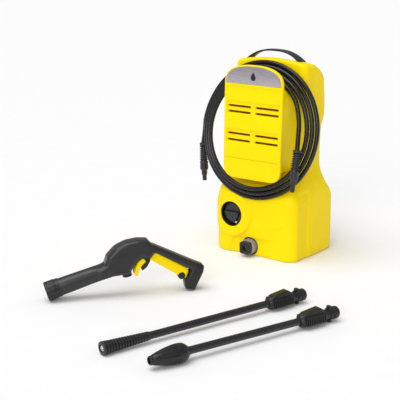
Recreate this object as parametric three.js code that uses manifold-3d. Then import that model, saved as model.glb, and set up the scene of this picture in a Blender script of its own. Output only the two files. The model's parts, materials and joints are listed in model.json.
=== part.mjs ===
// A compact electric pressure washer with its coiled hose, trigger gun and two spray lances.
// Millimetres, +Z up. The origin is the centre of the machine's base on the floor and the
// machine's front faces -Y.
import * as THREE from "three";
import { mergeVertices } from "three/addons/utils/BufferGeometryUtils.js";
import Module from "manifold-3d";

const wasm = await Module();
wasm.setup();

// ---------------------------------------------------------------- driving dimensions
const GAP = 0.3;                 // running gap between neighbouring pieces
const WALL = 3;                  // wall of the moulded shells

const HOUSING_BOTTOM = 1.5;
const HOUSING_TOP = 425;
const SHOULDER_X = 91;           // widest half width of the top's outline
const CROWN_DROP = 9;            // how far the top falls from its centre to its shoulders

const HANGER = { half: 73, bottom: 172, top: 417, shoulder: 376, back: -34.3, front: -100 };
const HANGER_TILT = 1.4;         // degrees that the front plate leans back
const NECK = { half: 70, bottom: 183, corner: 44, top: 381, shoulder: 338 };   // inside the coil
const SLOT = { inner: 5.6, outer: 64, height: 4.6, levels: [254.5, 268.5, 315.5, 327.9] };
const PLAQUE = { bottom: 376, inset: 3.4 };

const KNOB = { x: -56.5, z: 87, back: -76, recess: 28, radius: 23.5, pad: 50, raised: 3.4 };
const OUTLET = { x: -9, z: 20.5, collar: 17.5, hole: 20.5, face: 13.3, back: -76, front: -111 };
const INLET = { x: 40, z: 40, radius: 12, front: 62.7 };
const GLAND = { x: -45, z: 36, radius: 9 };
const STRAP = { half: 84, apex: 443, foot: 408, thick: 4, y0: -25, y1: 2 };

const PUMP = { x: 15.25, y: 13 };
const MOTOR = { x: -16, y: 13 };
const GEAR_MODULE = 1.25;
const PINION_TEETH = 10;
const GEAR_TEETH = 40;
const PISTONS = { count: 3, ring: 17, radius: 6 };

const HOSE_RADIUS = 5;
const COIL = { x: -4, y: -71, z: 275.5, inner: 118.2, outer: 149.5, half: 9, tilt: 10.5 };
const LEFT_CONNECTOR = { top: [-163, -52, 226], bottom: [-159.2, -52, 140] };
const RIGHT_CONNECTOR = { top: [112, -99.5, 251], bottom: [109.5, -111.5, 164] };
const LEFT_TAIL = [[-155.5, -55.5, 276], [-157.5, -53.5, 262], [-160, -52, 246], [-162.7, -51.9, 229]];
const RIGHT_TAIL = [
  [101.5, -76.5, 299], [104, -83, 284], [107.5, -90, 270], [110.5, -96, 260], [111.8, -98.8, 253.4],
];

const GUN_PLACE = [-160.4, -567.6, -2];
const GUN_YAW = 50.65;           // degrees from +X to the gun's own forward axis
const BARREL_SLOPE = 16.5;       // degrees that the barrel rises from the muzzle
const MUZZLE = { s: 2.5, h: 20.2, radius: 19.2, length: 25 };
const TRIGGER_PIVOT = [207, 91];
const CAP_RADIUS = 98.4;         // the handle cap begins this far from the trigger's pivot
const LOCK = { s: 268, h: 34, radius: 7 };
const HOSE_SOCKET_AXIS = [0.2, 0, -1];

const FAN_LANCE = { tip: [105.1, -702.1, 12.5], end: [240.6, -274, 15.8] };
const ROTARY_LANCE = { tip: [209.5, -703.1, 17.2], end: [338.5, -320.3, 15.7] };
const TUBE = { radius: 6.3, bore: 4.4 };
const COUPLING_LENGTH = 90;

// ---------------------------------------------------------------- materials
const plastic = (color, roughness) => ({ color, roughness, metalness: 0 });
const metal = (color, roughness) => ({ color, roughness, metalness: 1 });
const YELLOW = plastic(0xffe000, 0.35);
const BLACK = plastic(0x1c1c1e, 0.5);
const DARK_GREY = plastic(0x37373a, 0.45);
const LIGHT_GREY = plastic(0x8a8790, 0.4);
const BADGE = metal(0x9c949c, 0.35);
const HOSE = plastic(0x141416, 0.4);
const STEEL = metal(0xb4b6ba, 0.3);
const BRASS = metal(0xb8903e, 0.3);
const ALUMINIUM = metal(0xc4c6ca, 0.45);
const COPPER = metal(0xa85f32, 0.4);
const ACETAL = plastic(0xe8e6dc, 0.4);

// ---------------------------------------------------------------- helpers
const machine = new THREE.Group();
const washer = new THREE.Group();
washer.add(machine);

const X = new THREE.Vector3(1, 0, 0);
const Y = new THREE.Vector3(0, 1, 0);
const Z = new THREE.Vector3(0, 0, 1);
const radians = THREE.MathUtils.degToRad;
const vector = (point) => new THREE.Vector3(...point);

/** Shares the vertices that lie at one point, keeping positions only. */
function weld(geometry) {
  const bare = geometry.clone();
  bare.deleteAttribute("normal");
  bare.deleteAttribute("uv");
  return mergeVertices(bare, 1e-4);
}

/** A closed mesh as one solid, with its faces pointing out. */
function solid(geometry) {
  const merged = weld(geometry);
  const vertProperties = Float32Array.from(merged.attributes.position.array);
  const corners = Array.from(merged.index.array);
  const build = (triangles) => new wasm.Manifold(
    new wasm.Mesh({ numProp: 3, vertProperties, triVerts: Uint32Array.from(triangles) }));
  const body = build(corners);
  if (body.volume() >= 0) return body;
  const flipped = corners.map((_, i) => corners[i - (i % 3) + [0, 2, 1][i % 3]]);
  return build(flipped);
}

function geometryOf(body) {
  const mesh = body.getMesh();
  const geometry = new THREE.BufferGeometry();
  geometry.setAttribute("position", new THREE.BufferAttribute(mesh.vertProperties, 3));
  geometry.setIndex(new THREE.BufferAttribute(mesh.triVerts, 1));
  return geometry;
}

const combine = (operation) => (first, ...others) =>
  geometryOf(others.reduce((body, other) => body[operation](solid(other)), solid(first)));
const join = combine("add");
const cut = combine("subtract");
const common = combine("intersect");

function addPart(name, geometry, look, group = machine) {
  const shape = geometryOf(solid(geometry));
  shape.computeVertexNormals();
  const mesh = new THREE.Mesh(shape, new THREE.MeshStandardMaterial(look));
  mesh.name = name;
  group.add(mesh);
  return mesh;
}

function box(x0, x1, y0, y1, z0, z1) {
  const geometry = new THREE.BoxGeometry(x1 - x0, y1 - y0, z1 - z0);
  return geometry.translate((x0 + x1) / 2, (y0 + y1) / 2, (z0 + z1) / 2);
}

/** Turns a shape made round +Y to point along a direction, then moves it to its start. */
function aim(geometry, start, direction) {
  const turn = new THREE.Quaternion().setFromUnitVectors(Y, vector(direction).normalize());
  return geometry.applyQuaternion(turn).translate(...start);
}

/** A turned solid: profile points are [radius, distance from the start]. */
function turned(profile, start, direction, sides = 20) {
  const points = profile.map(([radius, distance]) => new THREE.Vector2(radius, distance));
  return aim(weld(new THREE.LatheGeometry(points, sides)), start, direction);
}

function rod(radius, start, direction, length, sides = 16) {
  return turned([[0, 0], [radius, 0], [radius, length], [0, length]], start, direction, sides);
}

function ring(inner, outer, start, direction, length, sides = 20) {
  const profile = [[inner, 0], [outer, 0], [outer, length], [inner, length], [inner, 0]];
  return turned(profile, start, direction, sides);
}

/** An outline through [a, b, corner radius] points. */
function outline(points) {
  const shape = new THREE.Shape();
  const corners = points.map(([a, b]) => new THREE.Vector2(a, b));
  points.forEach(([, , radius = 0], i) => {
    const corner = corners[i];
    if (radius === 0) {
      if (i === 0) shape.moveTo(corner.x, corner.y);
      else shape.lineTo(corner.x, corner.y);
      return;
    }
    const before = corners[(i + corners.length - 1) % corners.length];
    const after = corners[(i + 1) % corners.length];
    const start = before.clone().sub(corner).setLength(radius).add(corner);
    const end = after.clone().sub(corner).setLength(radius).add(corner);
    if (i === 0) shape.moveTo(start.x, start.y);
    else shape.lineTo(start.x, start.y);
    shape.quadraticCurveTo(corner.x, corner.y, end.x, end.y);
  });
  shape.closePath();
  return shape;
}

const PLANES = { xy: [X, Y, Z], xz: [X, Z, Y.clone().negate()], yz: [Y, Z, X] };

/** Extrudes an outline drawn in a plane from low to high along the remaining axis. */
function slab(shape, plane, low, high, bevel = 0) {
  const geometry = new THREE.ExtrudeGeometry(shape, {
    depth: high - low - 2 * bevel,
    curveSegments: 3,
    bevelEnabled: bevel > 0,
    bevelThickness: bevel,
    bevelSize: bevel,
    bevelOffset: -bevel,
    bevelSegments: 2,
  });
  geometry.translate(0, 0, bevel);
  geometry.applyMatrix4(new THREE.Matrix4().makeBasis(...PLANES[plane]));
  const offset = plane === "xz" ? Y.clone().multiplyScalar(high) : PLANES[plane][2].clone()
    .multiplyScalar(low);
  return geometry.translate(offset.x, offset.y, offset.z);
}

/** A closed skin through rings of equal point count, with flat ends. */
function loft(rings) {
  const count = rings[0].length;
  const positions = rings.flat().flatMap((point) => [point.x, point.y, point.z]);
  const faces = [];
  for (let level = 0; level + 1 < rings.length; level += 1) {
    for (let i = 0; i < count; i += 1) {
      const a = level * count + i;
      const b = level * count + ((i + 1) % count);
      faces.push(a, b, b + count, a, b + count, a + count);
    }
  }
  const top = (rings.length - 1) * count;
  for (let i = 1; i + 1 < count; i += 1) {
    faces.push(0, i + 1, i, top, top + i, top + i + 1);
  }
  const geometry = new THREE.BufferGeometry();
  geometry.setAttribute("position", new THREE.Float32BufferAttribute(positions, 3));
  geometry.setIndex(faces);
  return geometry;
}

/** A tube along a smooth line through points. */
function tube(points, radius, steps, sides = 10) {
  const section = new THREE.Shape();
  for (let i = 0; i < sides; i += 1) {
    const angle = (i * 2 * Math.PI) / sides;
    const corner = [radius * Math.cos(angle), radius * Math.sin(angle)];
    if (i === 0) section.moveTo(...corner);
    else section.lineTo(...corner);
  }
  section.closePath();
  const extrudePath = new THREE.CatmullRomCurve3(points.map(vector));
  return new THREE.ExtrudeGeometry(section, { steps, extrudePath, bevelEnabled: false });
}

/** A spur gear's outline, with slim teeth that leave backlash. */
function gearOutline(teeth, phase) {
  const pitch = (GEAR_MODULE * teeth) / 2;
  const root = pitch - 1.25 * GEAR_MODULE;
  const tip = pitch + 0.75 * GEAR_MODULE;
  const step = (2 * Math.PI) / teeth;
  const points = [];
  for (let i = 0; i < teeth; i += 1) {
    const centre = phase + i * step;
    for (const [radius, part] of [[root, -0.24], [tip, -0.11], [tip, 0.11], [root, 0.24]]) {
      const angle = centre + part * step;
      points.push([radius * Math.cos(angle), radius * Math.sin(angle)]);
    }
  }
  return outline(points);
}

// ---------------------------------------------------------------- housing
// Plan sections: height, half width, front, rear, front corner radius, rear corner radius.
const HOUSING_PLAN = [
  [HOUSING_BOTTOM, 100, -86, 76, 24, 24],
  [8, 103, -89, 79, 25, 26],
  [118, 103, -89, 79, 25, 26],
  [131, 102.5, -88, 74.5, 25, 26],
  [142, 101, -83, 68.5, 25, 26],
  [152, 98.5, -76, 60, 24, 26],
  [163, 95.5, -64, 56.5, 22, 26],
  [177, 89.5, -46, 55, 20, 26],
  [190, 85.5, -36.5, 55, 16, 26],
  [204, 84, -34, 55, 14, 26],
  [270, 85.7, -34, 54.7, 14, 26],
  [287, 86.1, -34, 58.6, 14, 26],
  [301, 86.5, -34, 65.4, 14, 26],
  [345, 87.6, -34, 63.6, 14, 27],
  [372, 88.3, -34, 61, 14, 30],
  [403, 89, -34, 60, 14, 36],
  [HOUSING_TOP + 3, 87, -34, 56, 14, 40],
];

function planRing(height, half, front, rear, frontRadius, rearRadius) {
  const corners = [
    [half - frontRadius, front + frontRadius, frontRadius, -90],
    [half - rearRadius, rear - rearRadius, rearRadius, 0],
    [rearRadius - half, rear - rearRadius, rearRadius, 90],
    [frontRadius - half, front + frontRadius, frontRadius, 180],
  ];
  const steps = 4;
  return corners.flatMap(([x, y, radius, start]) =>
    Array.from({ length: steps + 1 }, (_, i) => {
      const angle = radians(start + (i * 90) / steps);
      return new THREE.Vector3(x + radius * Math.cos(angle), y + radius * Math.sin(angle), height);
    }));
}

/** The housing's outer form, drawn in by an inset; a positive inset is open at the bottom. */
function housing(inset) {
  const rings = HOUSING_PLAN.map(([height, half, front, rear, frontRadius, rearRadius], i) =>
    planRing(i === 0 && inset > 0 ? -10 : height, half - inset, front + inset, rear - inset,
      frontRadius - inset, rearRadius - inset));
  const crown = [[-150, -20], [150, -20], [150, 300], [SHOULDER_X - inset, 300]];
  crown.push([SHOULDER_X - inset, HOUSING_TOP - 20 - inset, 8]);
  for (let x = 84; x >= -84; x -= 28) {
    crown.push([x - inset * Math.sign(x), HOUSING_TOP - 1 - CROWN_DROP * (x / 84) ** 2 - inset]);
  }
  crown.push([inset - SHOULDER_X, HOUSING_TOP - 20 - inset, 8], [inset - SHOULDER_X, 300]);
  crown.push([-150, 300]);
  const side = [
    [-150, -20], [150, -20], [150, 340], [62 - inset, 371], [59 - inset, 380 - inset / 2],
    [50, 391.5 - inset], [38, 402 - inset], [25, 411 - inset], [10, 418.5 - inset],
    [-12, HOUSING_TOP - inset],
    [-30, HOUSING_TOP - 1 - inset], [-34 + inset, HOUSING_TOP - 6 - inset], [-34 + inset, 340],
    [-150, 330],
  ];
  const handRecess = rod(22 + inset, [-56 - inset, -4, 437], [1, 0, 0], 112 + 2 * inset, 28);
  const form = common(loft(rings), slab(outline(crown), "xz", -150, 150),
    slab(outline(side), "yz", -150, 150));
  return cut(form, handRecess);
}

/** Where the shells meet, in the side view: the seam swings out at the belt. */
function halfSpace(front) {
  const gap = front ? -GAP / 2 : GAP / 2;
  const seam = [[-8, -20], [-8, 7], [-22, 29], [-25, 50], [-25, 84], [-21.5, 125], [-19, 135],
    [-8, 144], [-5, 151], [-8, 164], [-12, 200], [-9, 383], [-9, 460]];
  const far = front ? -160 : 160;
  const points = seam.map(([y, z]) => [y + gap, z]);
  return slab(outline([...points, [far, 460], [far, -20]]), "yz", -150, 150);
}

const screwSites = [[-68, 66], [68, 66]];
const SCREW_Y = 79;

function housingShells() {
  const skin = cut(housing(0), housing(WALL));
  const pad = common(rod(KNOB.pad, [KNOB.x, -100, KNOB.z], [0, 1, 0], 34, 40),
    housing(-KNOB.raised));
  const knobHole = rod(KNOB.recess + GAP, [KNOB.x, -100, KNOB.z], [0, 1, 0], 30, 32);
  const outletHole = rod(OUTLET.hole, [OUTLET.x, -100, OUTLET.z], [0, 1, 0], 30, 28);
  const frontHalf = halfSpace(true);
  const frontShell = cut(join(common(skin, frontHalf), pad), knobHole, outletHole, housing(WALL));
  addPart("front_shell", frontShell, YELLOW);

  const holes = screwSites.map(([x, z]) => rod(2.4, [x, 60, z], [0, 1, 0], 30, 12));
  const inletHole = rod(INLET.radius + GAP, [INLET.x, 60, INLET.z], [0, 1, 0], 30, 20);
  const glandHole = rod(GLAND.radius - 3 + GAP, [GLAND.x, 60, GLAND.z], [0, 1, 0], 30, 16);
  addPart("rear_shell", cut(common(skin, halfSpace(false)), inletHole, glandHole, ...holes), YELLOW);
  screwSites.forEach(([x, z], i) => {
    const head = [[0, 0], [2, 0], [2, 13.3], [4.2, 13.3], [4.2, 15], [3.2, 16], [0, 16]];
    addPart(`screw_${i + 1}`, turned(head, [x, SCREW_Y - 13, z], [0, 1, 0], 14), STEEL);
  });
}

function basePlate() {
  const rings = [[0, 3], [2, 0.5], [7, 0.5]].map(([height, inset]) =>
    planRing(height, 99.2 - inset, -85.1 + inset, 75.4 - inset, 21, 22));
  const collarRoom = rod(OUTLET.collar + GAP, [OUTLET.x, -100, OUTLET.z], [0, 1, 0], 30, 28);
  addPart("base_plate", cut(loft(rings), collarRoom), BLACK);
}

// ---------------------------------------------------------------- hose hanger and badge
/** Points over a flat arch with full corners, from its right end to its left. */
function archPoints(half, top, shoulder, count) {
  const fullness = 2.5;
  return Array.from({ length: count + 1 }, (_, i) => {
    const angle = (i * Math.PI) / count;
    const across = Math.cos(angle);
    const up = Math.sin(angle);
    const x = half * Math.sign(across) * Math.abs(across) ** (2 / fullness);
    return [x, shoulder + (top - shoulder) * Math.abs(up) ** (2 / fullness)];
  });
}

/** The arched front outline of the hanger, drawn in by an inset. */
function hangerOutline(inset) {
  const half = HANGER.half - inset;
  const low = HANGER.bottom + inset;
  const arch = archPoints(half, HANGER.top - inset, HANGER.shoulder, 16);
  return outline([[-half, low, 30], [half, low, 30], ...arch]);
}

/** The outline of the neck between the plate and the housing. */
function neckOutline(inset) {
  const half = NECK.half - inset;
  const low = NECK.bottom + inset;
  const arch = archPoints(half, NECK.top - inset, NECK.shoulder, 12);
  return outline([[-half, low, NECK.corner], [half, low, NECK.corner], ...arch]);
}

/** Leans a piece of the front plate back about its lower edge. */
function lean(geometry) {
  geometry.translate(0, -HANGER.front, -HANGER.bottom);
  geometry.rotateX(-radians(HANGER_TILT));
  return geometry.translate(0, HANGER.front - 3, HANGER.bottom);
}

function hoseHanger() {
  const plate = lean(slab(hangerOutline(0), "xz", HANGER.front, HANGER.front + 8, 2));
  const neck = cut(slab(neckOutline(0), "xz", HANGER.front + 4, HANGER.back), housing(-GAP));
  const hollow = slab(neckOutline(WALL), "xz", HANGER.front + 8, HANGER.back + 10);
  const slots = SLOT.levels.flatMap((level) => [-1, 1].map((side) => {
    const x0 = side < 0 ? -SLOT.outer : SLOT.inner;
    const x1 = side < 0 ? -SLOT.inner : SLOT.outer;
    return box(x0, x1, -130, HANGER.back - 20, level - SLOT.height / 2, level + SLOT.height / 2);
  }));
  const badgePocket = lean(slab(badgeOutline(PLAQUE.inset - GAP), "xz", HANGER.front - 5,
    HANGER.front + 1.5));
  addPart("hanger_cover", cut(join(plate, neck), hollow, badgePocket, ...slots), YELLOW);
  const badge = lean(slab(badgeOutline(PLAQUE.inset), "xz", HANGER.front - 0.3,
    HANGER.front + 1.2));
  addPart("badge_plate", badge, BADGE);
}

/** The badge is the part of the plate's outline above its flat lower edge. */
function badgeOutline(inset) {
  const drop = inset - PLAQUE.inset;
  return outline(archPoints(HANGER.half - inset, HANGER.top - inset, PLAQUE.bottom + drop, 16));
}

// ---------------------------------------------------------------- carry handle
function carryHandle() {
  const steps = 16;
  const arc = (half, apex, foot) => Array.from({ length: steps + 1 }, (_, i) => {
    const across = 1 - (2 * i) / steps;
    return [half * across, foot + (apex - foot) * (1 - Math.abs(across) ** 2.6)];
  });
  const outer = arc(STRAP.half, STRAP.apex, STRAP.foot);
  const inner = arc(STRAP.half - 7, STRAP.apex - STRAP.thick, STRAP.foot - STRAP.thick).reverse();
  const strap = slab(outline([...outer, ...inner]), "xz", STRAP.y0, STRAP.y1);
  addPart("carry_handle", cut(strap, housing(-GAP)), BLACK);
}

// ---------------------------------------------------------------- switch
function rotarySwitch() {
  const { back } = KNOB;
  const cup = turned([[0, 0], [KNOB.recess, 0], [KNOB.recess, 19.5], [KNOB.recess - 2, 20],
    [KNOB.recess - 2.5, 3], [4, 3], [3.8, 2.5], [0, 2.5]], [KNOB.x, back, KNOB.z], [0, -1, 0], 32);
  const spindleHole = rod(3.6, [KNOB.x, back + 5, KNOB.z], [0, -1, 0], 20, 16);
  addPart("switch_bezel", cut(cup, spindleHole), BLACK);

  const disc = turned([[0, 0], [KNOB.radius, 0], [KNOB.radius, 8], [KNOB.radius - 1.5, 10],
    [0, 10]], [KNOB.x, back - 3.4, KNOB.z], [0, -1, 0], 32);
  const bar = box(KNOB.x - 21, KNOB.x + 21, back - 20, back - 10, KNOB.z - 5, KNOB.z + 5);
  const spindle = rod(3, [KNOB.x, back + 8, KNOB.z], [0, -1, 0], 14, 16);
  addPart("switch_knob", join(disc, bar, spindle), DARK_GREY);

  const housingBox = box(KNOB.x - 18, KNOB.x + 18, back + GAP + 0.2, back + 32, KNOB.z - 16,
    KNOB.z + 16);
  const socket = rod(3.5, [KNOB.x, back + 10, KNOB.z], [0, -1, 0], 12, 16);
  addPart("switch_box", cut(housingBox, socket), LIGHT_GREY);
}

// ---------------------------------------------------------------- pump
const HEAD = { z0: 7.3, z1: 38 };
const BLOCK_TOP = 82;
const GEAR_HOUSING_TOP = 138;

function pistonSite(i) {
  const angle = (i * 2 * Math.PI) / PISTONS.count + Math.PI / 2;
  return [PUMP.x + PISTONS.ring * Math.cos(angle), PUMP.y + PISTONS.ring * Math.sin(angle)];
}

function pump() {
  const head = slab(outline([[PUMP.x - 36, PUMP.y - 30, 8], [PUMP.x + 36, PUMP.y - 30, 8],
    [PUMP.x + 36, PUMP.y + 30, 8], [PUMP.x - 36, PUMP.y + 30, 8]]), "xy", HEAD.z0, HEAD.z1);
  addPart("cylinder_head", head, ALUMINIUM);

  const block = turned([[0, 0], [34, 0], [34, 6], [29, 10], [29, 34], [40, 38], [40, 43.7],
    [0, 43.7]], [PUMP.x, PUMP.y, HEAD.z1 + GAP], [0, 0, 1], 28);
  const bores = [];
  for (let i = 0; i < PISTONS.count; i += 1) {
    const [x, y] = pistonSite(i);
    bores.push(rod(PISTONS.radius + 0.1, [x, y, HEAD.z1 - 5], [0, 0, 1], 60, 16));
  }
  addPart("pump_block", cut(block, ...bores), ALUMINIUM);

  for (let i = 0; i < PISTONS.count; i += 1) {
    const [x, y] = pistonSite(i);
    const piston = [[0, 0], [PISTONS.radius, 0], [PISTONS.radius, 48], [9.4, 48], [9.4, 50.5],
      [3, 53], [0, 53]];
    addPart(`piston_${i + 1}`, turned(piston, [x, y, 47], [0, 0, 1], 16), STEEL);
    addPart(`piston_spring_${i + 1}`,
      ring(6.6, 8.6, [x, y, BLOCK_TOP + 0.4], [0, 0, 1], 12, 14), STEEL);
  }

  const plate = turned([[0, 0], [31, 0], [31, 14], [12, 14], [12, 18], [0, 18]],
    [PUMP.x, PUMP.y, 101], [0, 0, 1], 28);
  const wedge = box(-60, 60, -60, 60, -30, 0);
  wedge.rotateX(radians(7)).translate(PUMP.x, PUMP.y, 105);
  addPart("wobble_plate", cut(plate, wedge), STEEL);

  const gear = slab(gearOutline(GEAR_TEETH, Math.PI / GEAR_TEETH), "xy", 0, 9);
  gear.translate(PUMP.x, PUMP.y, 119.4);
  const shaft = rod(5, [PUMP.x, PUMP.y, 128], [0, 0, 1], 9.5);
  addPart("drive_gear", join(gear, shaft), ACETAL);

  const pinion = slab(gearOutline(PINION_TEETH, 0), "xy", 0, 11);
  pinion.translate(MOTOR.x, MOTOR.y, 118.4);
  addPart("motor_pinion", cut(pinion, rod(3.2, [MOTOR.x, MOTOR.y, 110], [0, 0, 1], 30, 12)), STEEL);
}

function gearHousing() {
  const wallAround = (inset) => slab(outline([
    [PUMP.x + 40 - inset, PUMP.y - 34 + inset, 16], [PUMP.x + 40 - inset, PUMP.y + 34 - inset, 16],
    [MOTOR.x - 26 + inset, PUMP.y + 34 - inset, 16],
    [MOTOR.x - 26 + inset, PUMP.y - 34 + inset, 16],
  ]), "xy", BLOCK_TOP + GAP - 2 * inset, GEAR_HOUSING_TOP - 1.6 * inset);
  const holes = [
    rod(5.4, [PUMP.x, PUMP.y, 120], [0, 0, 1], 30, 16),
    rod(9.4, [MOTOR.x, MOTOR.y, 120], [0, 0, 1], 30, 16),
  ];
  addPart("gear_housing", cut(wallAround(0), wallAround(WALL), ...holes), DARK_GREY);
}

// ---------------------------------------------------------------- motor
const MOTOR_BOTTOM = GEAR_HOUSING_TOP + GAP;
const MOTOR_LENGTH = 120;

function motor() {
  const at = (z) => [MOTOR.x, MOTOR.y, z];
  const up = [0, 0, 1];
  addPart("motor_bearing_lower", ring(4.3, 9, at(131), up, 7, 20), STEEL);
  addPart("motor_can", ring(33.5, 36, at(MOTOR_BOTTOM), up, MOTOR_LENGTH, 32), STEEL);
  addPart("motor_stator", ring(22.5, 33.2, at(160), up, 78, 28), COPPER);
  const rotor = [[0, 0], [2.9, 0], [2.9, 13], [4, 13], [4, 50], [21.5, 50], [21.5, 118],
    [13, 120], [13, 138], [4, 138], [4, 172], [0, 172]];
  addPart("motor_rotor", turned(rotor, at(117.2), up, 24), COPPER);
  addPart("motor_bearing_upper", ring(4.3, 9, at(261), up, 7, 20), STEEL);
  const endPlate = [[9.3, 0], [36, 0], [36, 3], [13, 3], [13, 9], [9.3, 9], [9.3, 0]];
  addPart("motor_end_plate", turned(endPlate, at(MOTOR_BOTTOM + MOTOR_LENGTH + GAP), up, 28),
    ALUMINIUM);

  const hub = ring(4.3, 9, at(271), up, 12, 20);
  const disc = ring(8, 30, at(271), up, 2, 28);
  const blades = Array.from({ length: 9 }, (_, i) => {
    const blade = box(8, 29.5, -0.9, 0.9, 272, 282);
    return blade.rotateZ((i * 2 * Math.PI) / 9).translate(MOTOR.x, MOTOR.y, 0);
  });
  addPart("motor_fan", join(hub, disc, ...blades), BLACK);
  addPart("capacitor", rod(13, [50, 37.5, 196], up, 52, 20), LIGHT_GREY);
}

// ---------------------------------------------------------------- water path and cable
function waterPath() {
  const y0 = PUMP.y - 30 - GAP;
  const { x, z, back, front } = OUTLET;
  const body = rod(11, [x, y0, z], [0, -1, 0], y0 - back - GAP, 20);
  const socketSeat = rod(9, [x, back + 10, z], [0, -1, 0], 12, 20);
  addPart("outlet_body", cut(body, socketSeat), BRASS);

  const collar = turned([[0, 0], [OUTLET.collar, 0], [OUTLET.collar, 23], [OUTLET.collar - 2, 25],
    [0, 25]], [x, back - GAP, z], [0, -1, 0], 28);
  const faceCorners = [[-1, -1], [1, -1], [1, 1], [-1, 1]].map(([a, b]) =>
    [x + a * OUTLET.face, z + b * OUTLET.face, 5]);
  const face = slab(outline(faceCorners), "xz", front, front + 15, 1);
  const bore = box(x - 4, x + 4, front - 5, front + 29, z - 4, z + 4);
  const spigot = rod(8.6, [x, back + 8, z], [0, -1, 0], 10, 20);
  addPart("outlet_collar", cut(join(collar, spigot), outletFaceSeat()), LIGHT_GREY);
  addPart("outlet_socket", cut(face, bore), BLACK);

  const inletStart = PUMP.y + 30 + GAP;
  const pipe = ring(4, 8, [INLET.x, inletStart, 26], [0, 1, 0], 18, 18);
  const riser = rod(8, [INLET.x, inletStart + 11, 26], [0, 0, 1], 22, 18);
  addPart("inlet_pipe", join(pipe, riser), BLACK);
  const coupling = turned([[5, 0], [11.7, 0], [11.7, 16.8], [14.5, 16.8], [14.5, 21], [9, 21],
    [9, 28], [10.5, 31], [10.5, 35], [8, 38], [5, 38], [5, 0]],
  [INLET.x, INLET.front, INLET.z], [0, 1, 0], 20);
  addPart("inlet_coupling", coupling, BLACK);

  const gland = turned([[0, 0], [5.7, 0], [5.7, 8.5], [GLAND.radius, 8.5], [GLAND.radius, 11],
    [5.5, 24], [4, 24], [4, 2], [0, 2]], [GLAND.x, 71, GLAND.z], [0, 1, 0], 16);
  addPart("cable_gland", gland, BLACK);
}

/** The seat in the outlet collar that holds the square socket. */
function outletFaceSeat() {
  const half = OUTLET.face + GAP;
  return box(OUTLET.x - half, OUTLET.x + half, OUTLET.front - 5, OUTLET.front + 15.4,
    OUTLET.z - half, OUTLET.z + half);
}

// ---------------------------------------------------------------- hose
function hose() {
  const { inner, outer, half } = COIL;
  const bevel = 6;
  const profile = [[inner, bevel - half], [inner + bevel, -half], [outer - bevel, -half],
    [outer, bevel - half], [outer, half - bevel], [outer - bevel, half], [inner + bevel, half],
    [inner, half - bevel], [inner, bevel - half]];
  const direction = [0, -Math.cos(radians(COIL.tilt)), Math.sin(radians(COIL.tilt))];
  addPart("hose_coil", turned(profile, [COIL.x, COIL.y, COIL.z], direction, 40), HOSE);
  addPart("hose_tail_left", tube(LEFT_TAIL, HOSE_RADIUS, 6), HOSE);
  addPart("hose_tail_right", tube(RIGHT_TAIL, HOSE_RADIUS, 10), HOSE);
}

/** A tapering grip with a collar, a ring and two smaller steps at its end. */
function hoseConnector(name, place) {
  const direction = vector(place.bottom).sub(vector(place.top));
  const length = direction.length();
  const profile = [[0, 0], [8, 0], [9.2, 12], [9.2, 56], [9.6, 57], [9.6, 60], [6.6, 61],
    [6.6, 72], [5, 73], [5, length], [0, length]];
  addPart(name, turned(profile, place.top, direction.toArray(), 16), DARK_GREY);
}

// ---------------------------------------------------------------- trigger gun
const gun = new THREE.Group();
gun.position.set(...GUN_PLACE);
gun.rotation.z = radians(GUN_YAW);
washer.add(gun);

const slope = [Math.cos(radians(BARREL_SLOPE)), 0, Math.sin(radians(BARREL_SLOPE))];
const barrelPoint = (distance) =>
  [MUZZLE.s + distance * slope[0], 0, MUZZLE.h + distance * slope[2]];

const HANDLE_OUTLINE = [
  [196, 74], [208, 76, 3], [215, 85, 4], [287, 45], [280, 30], [274, 20], [276, 6.5, 3],
  [294, 2.3, 3], [312, 40], [314, 52, 4], [288, 64], [242, 87], [212, 101, 6], [196, 110],
];
const HUMP_OUTLINE = [
  [104, 38], [132, 44], [168, 48, 4], [186, 62], [207, 76], [215, 88, 4], [212, 101, 4],
  [201, 111, 4], [179, 113], [158, 107], [138, 94], [121, 75], [104, 66],
];
const TRIGGER_OUTLINE = [
  [208, 68, 3], [242, 44], [277, 24, 4], [285, 42, 4], [217, 82], [213, 89], [201, 89], [203, 80],
];

function sweptTrigger(width, grow) {
  const lever = slab(outline(TRIGGER_OUTLINE), "xz", -width, width);
  const boss = rod(7 + grow, [TRIGGER_PIVOT[0], -width, TRIGGER_PIVOT[1]], [0, 1, 0], 2 * width, 20);
  return join(lever, boss);
}

function triggerChannel() {
  const width = 9.6;
  const channel = outline([[200, 66], [214, 60], [284, 20], [291, 40], [291.5, 55], [284, 58],
    [215, 92.5], [203, 86], [199, 78]]);
  const boss = rod(8.6, [TRIGGER_PIVOT[0], -width, TRIGGER_PIVOT[1]], [0, 1, 0], 2 * width, 20);
  return join(slab(channel, "xz", -width, width), boss);
}

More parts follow.
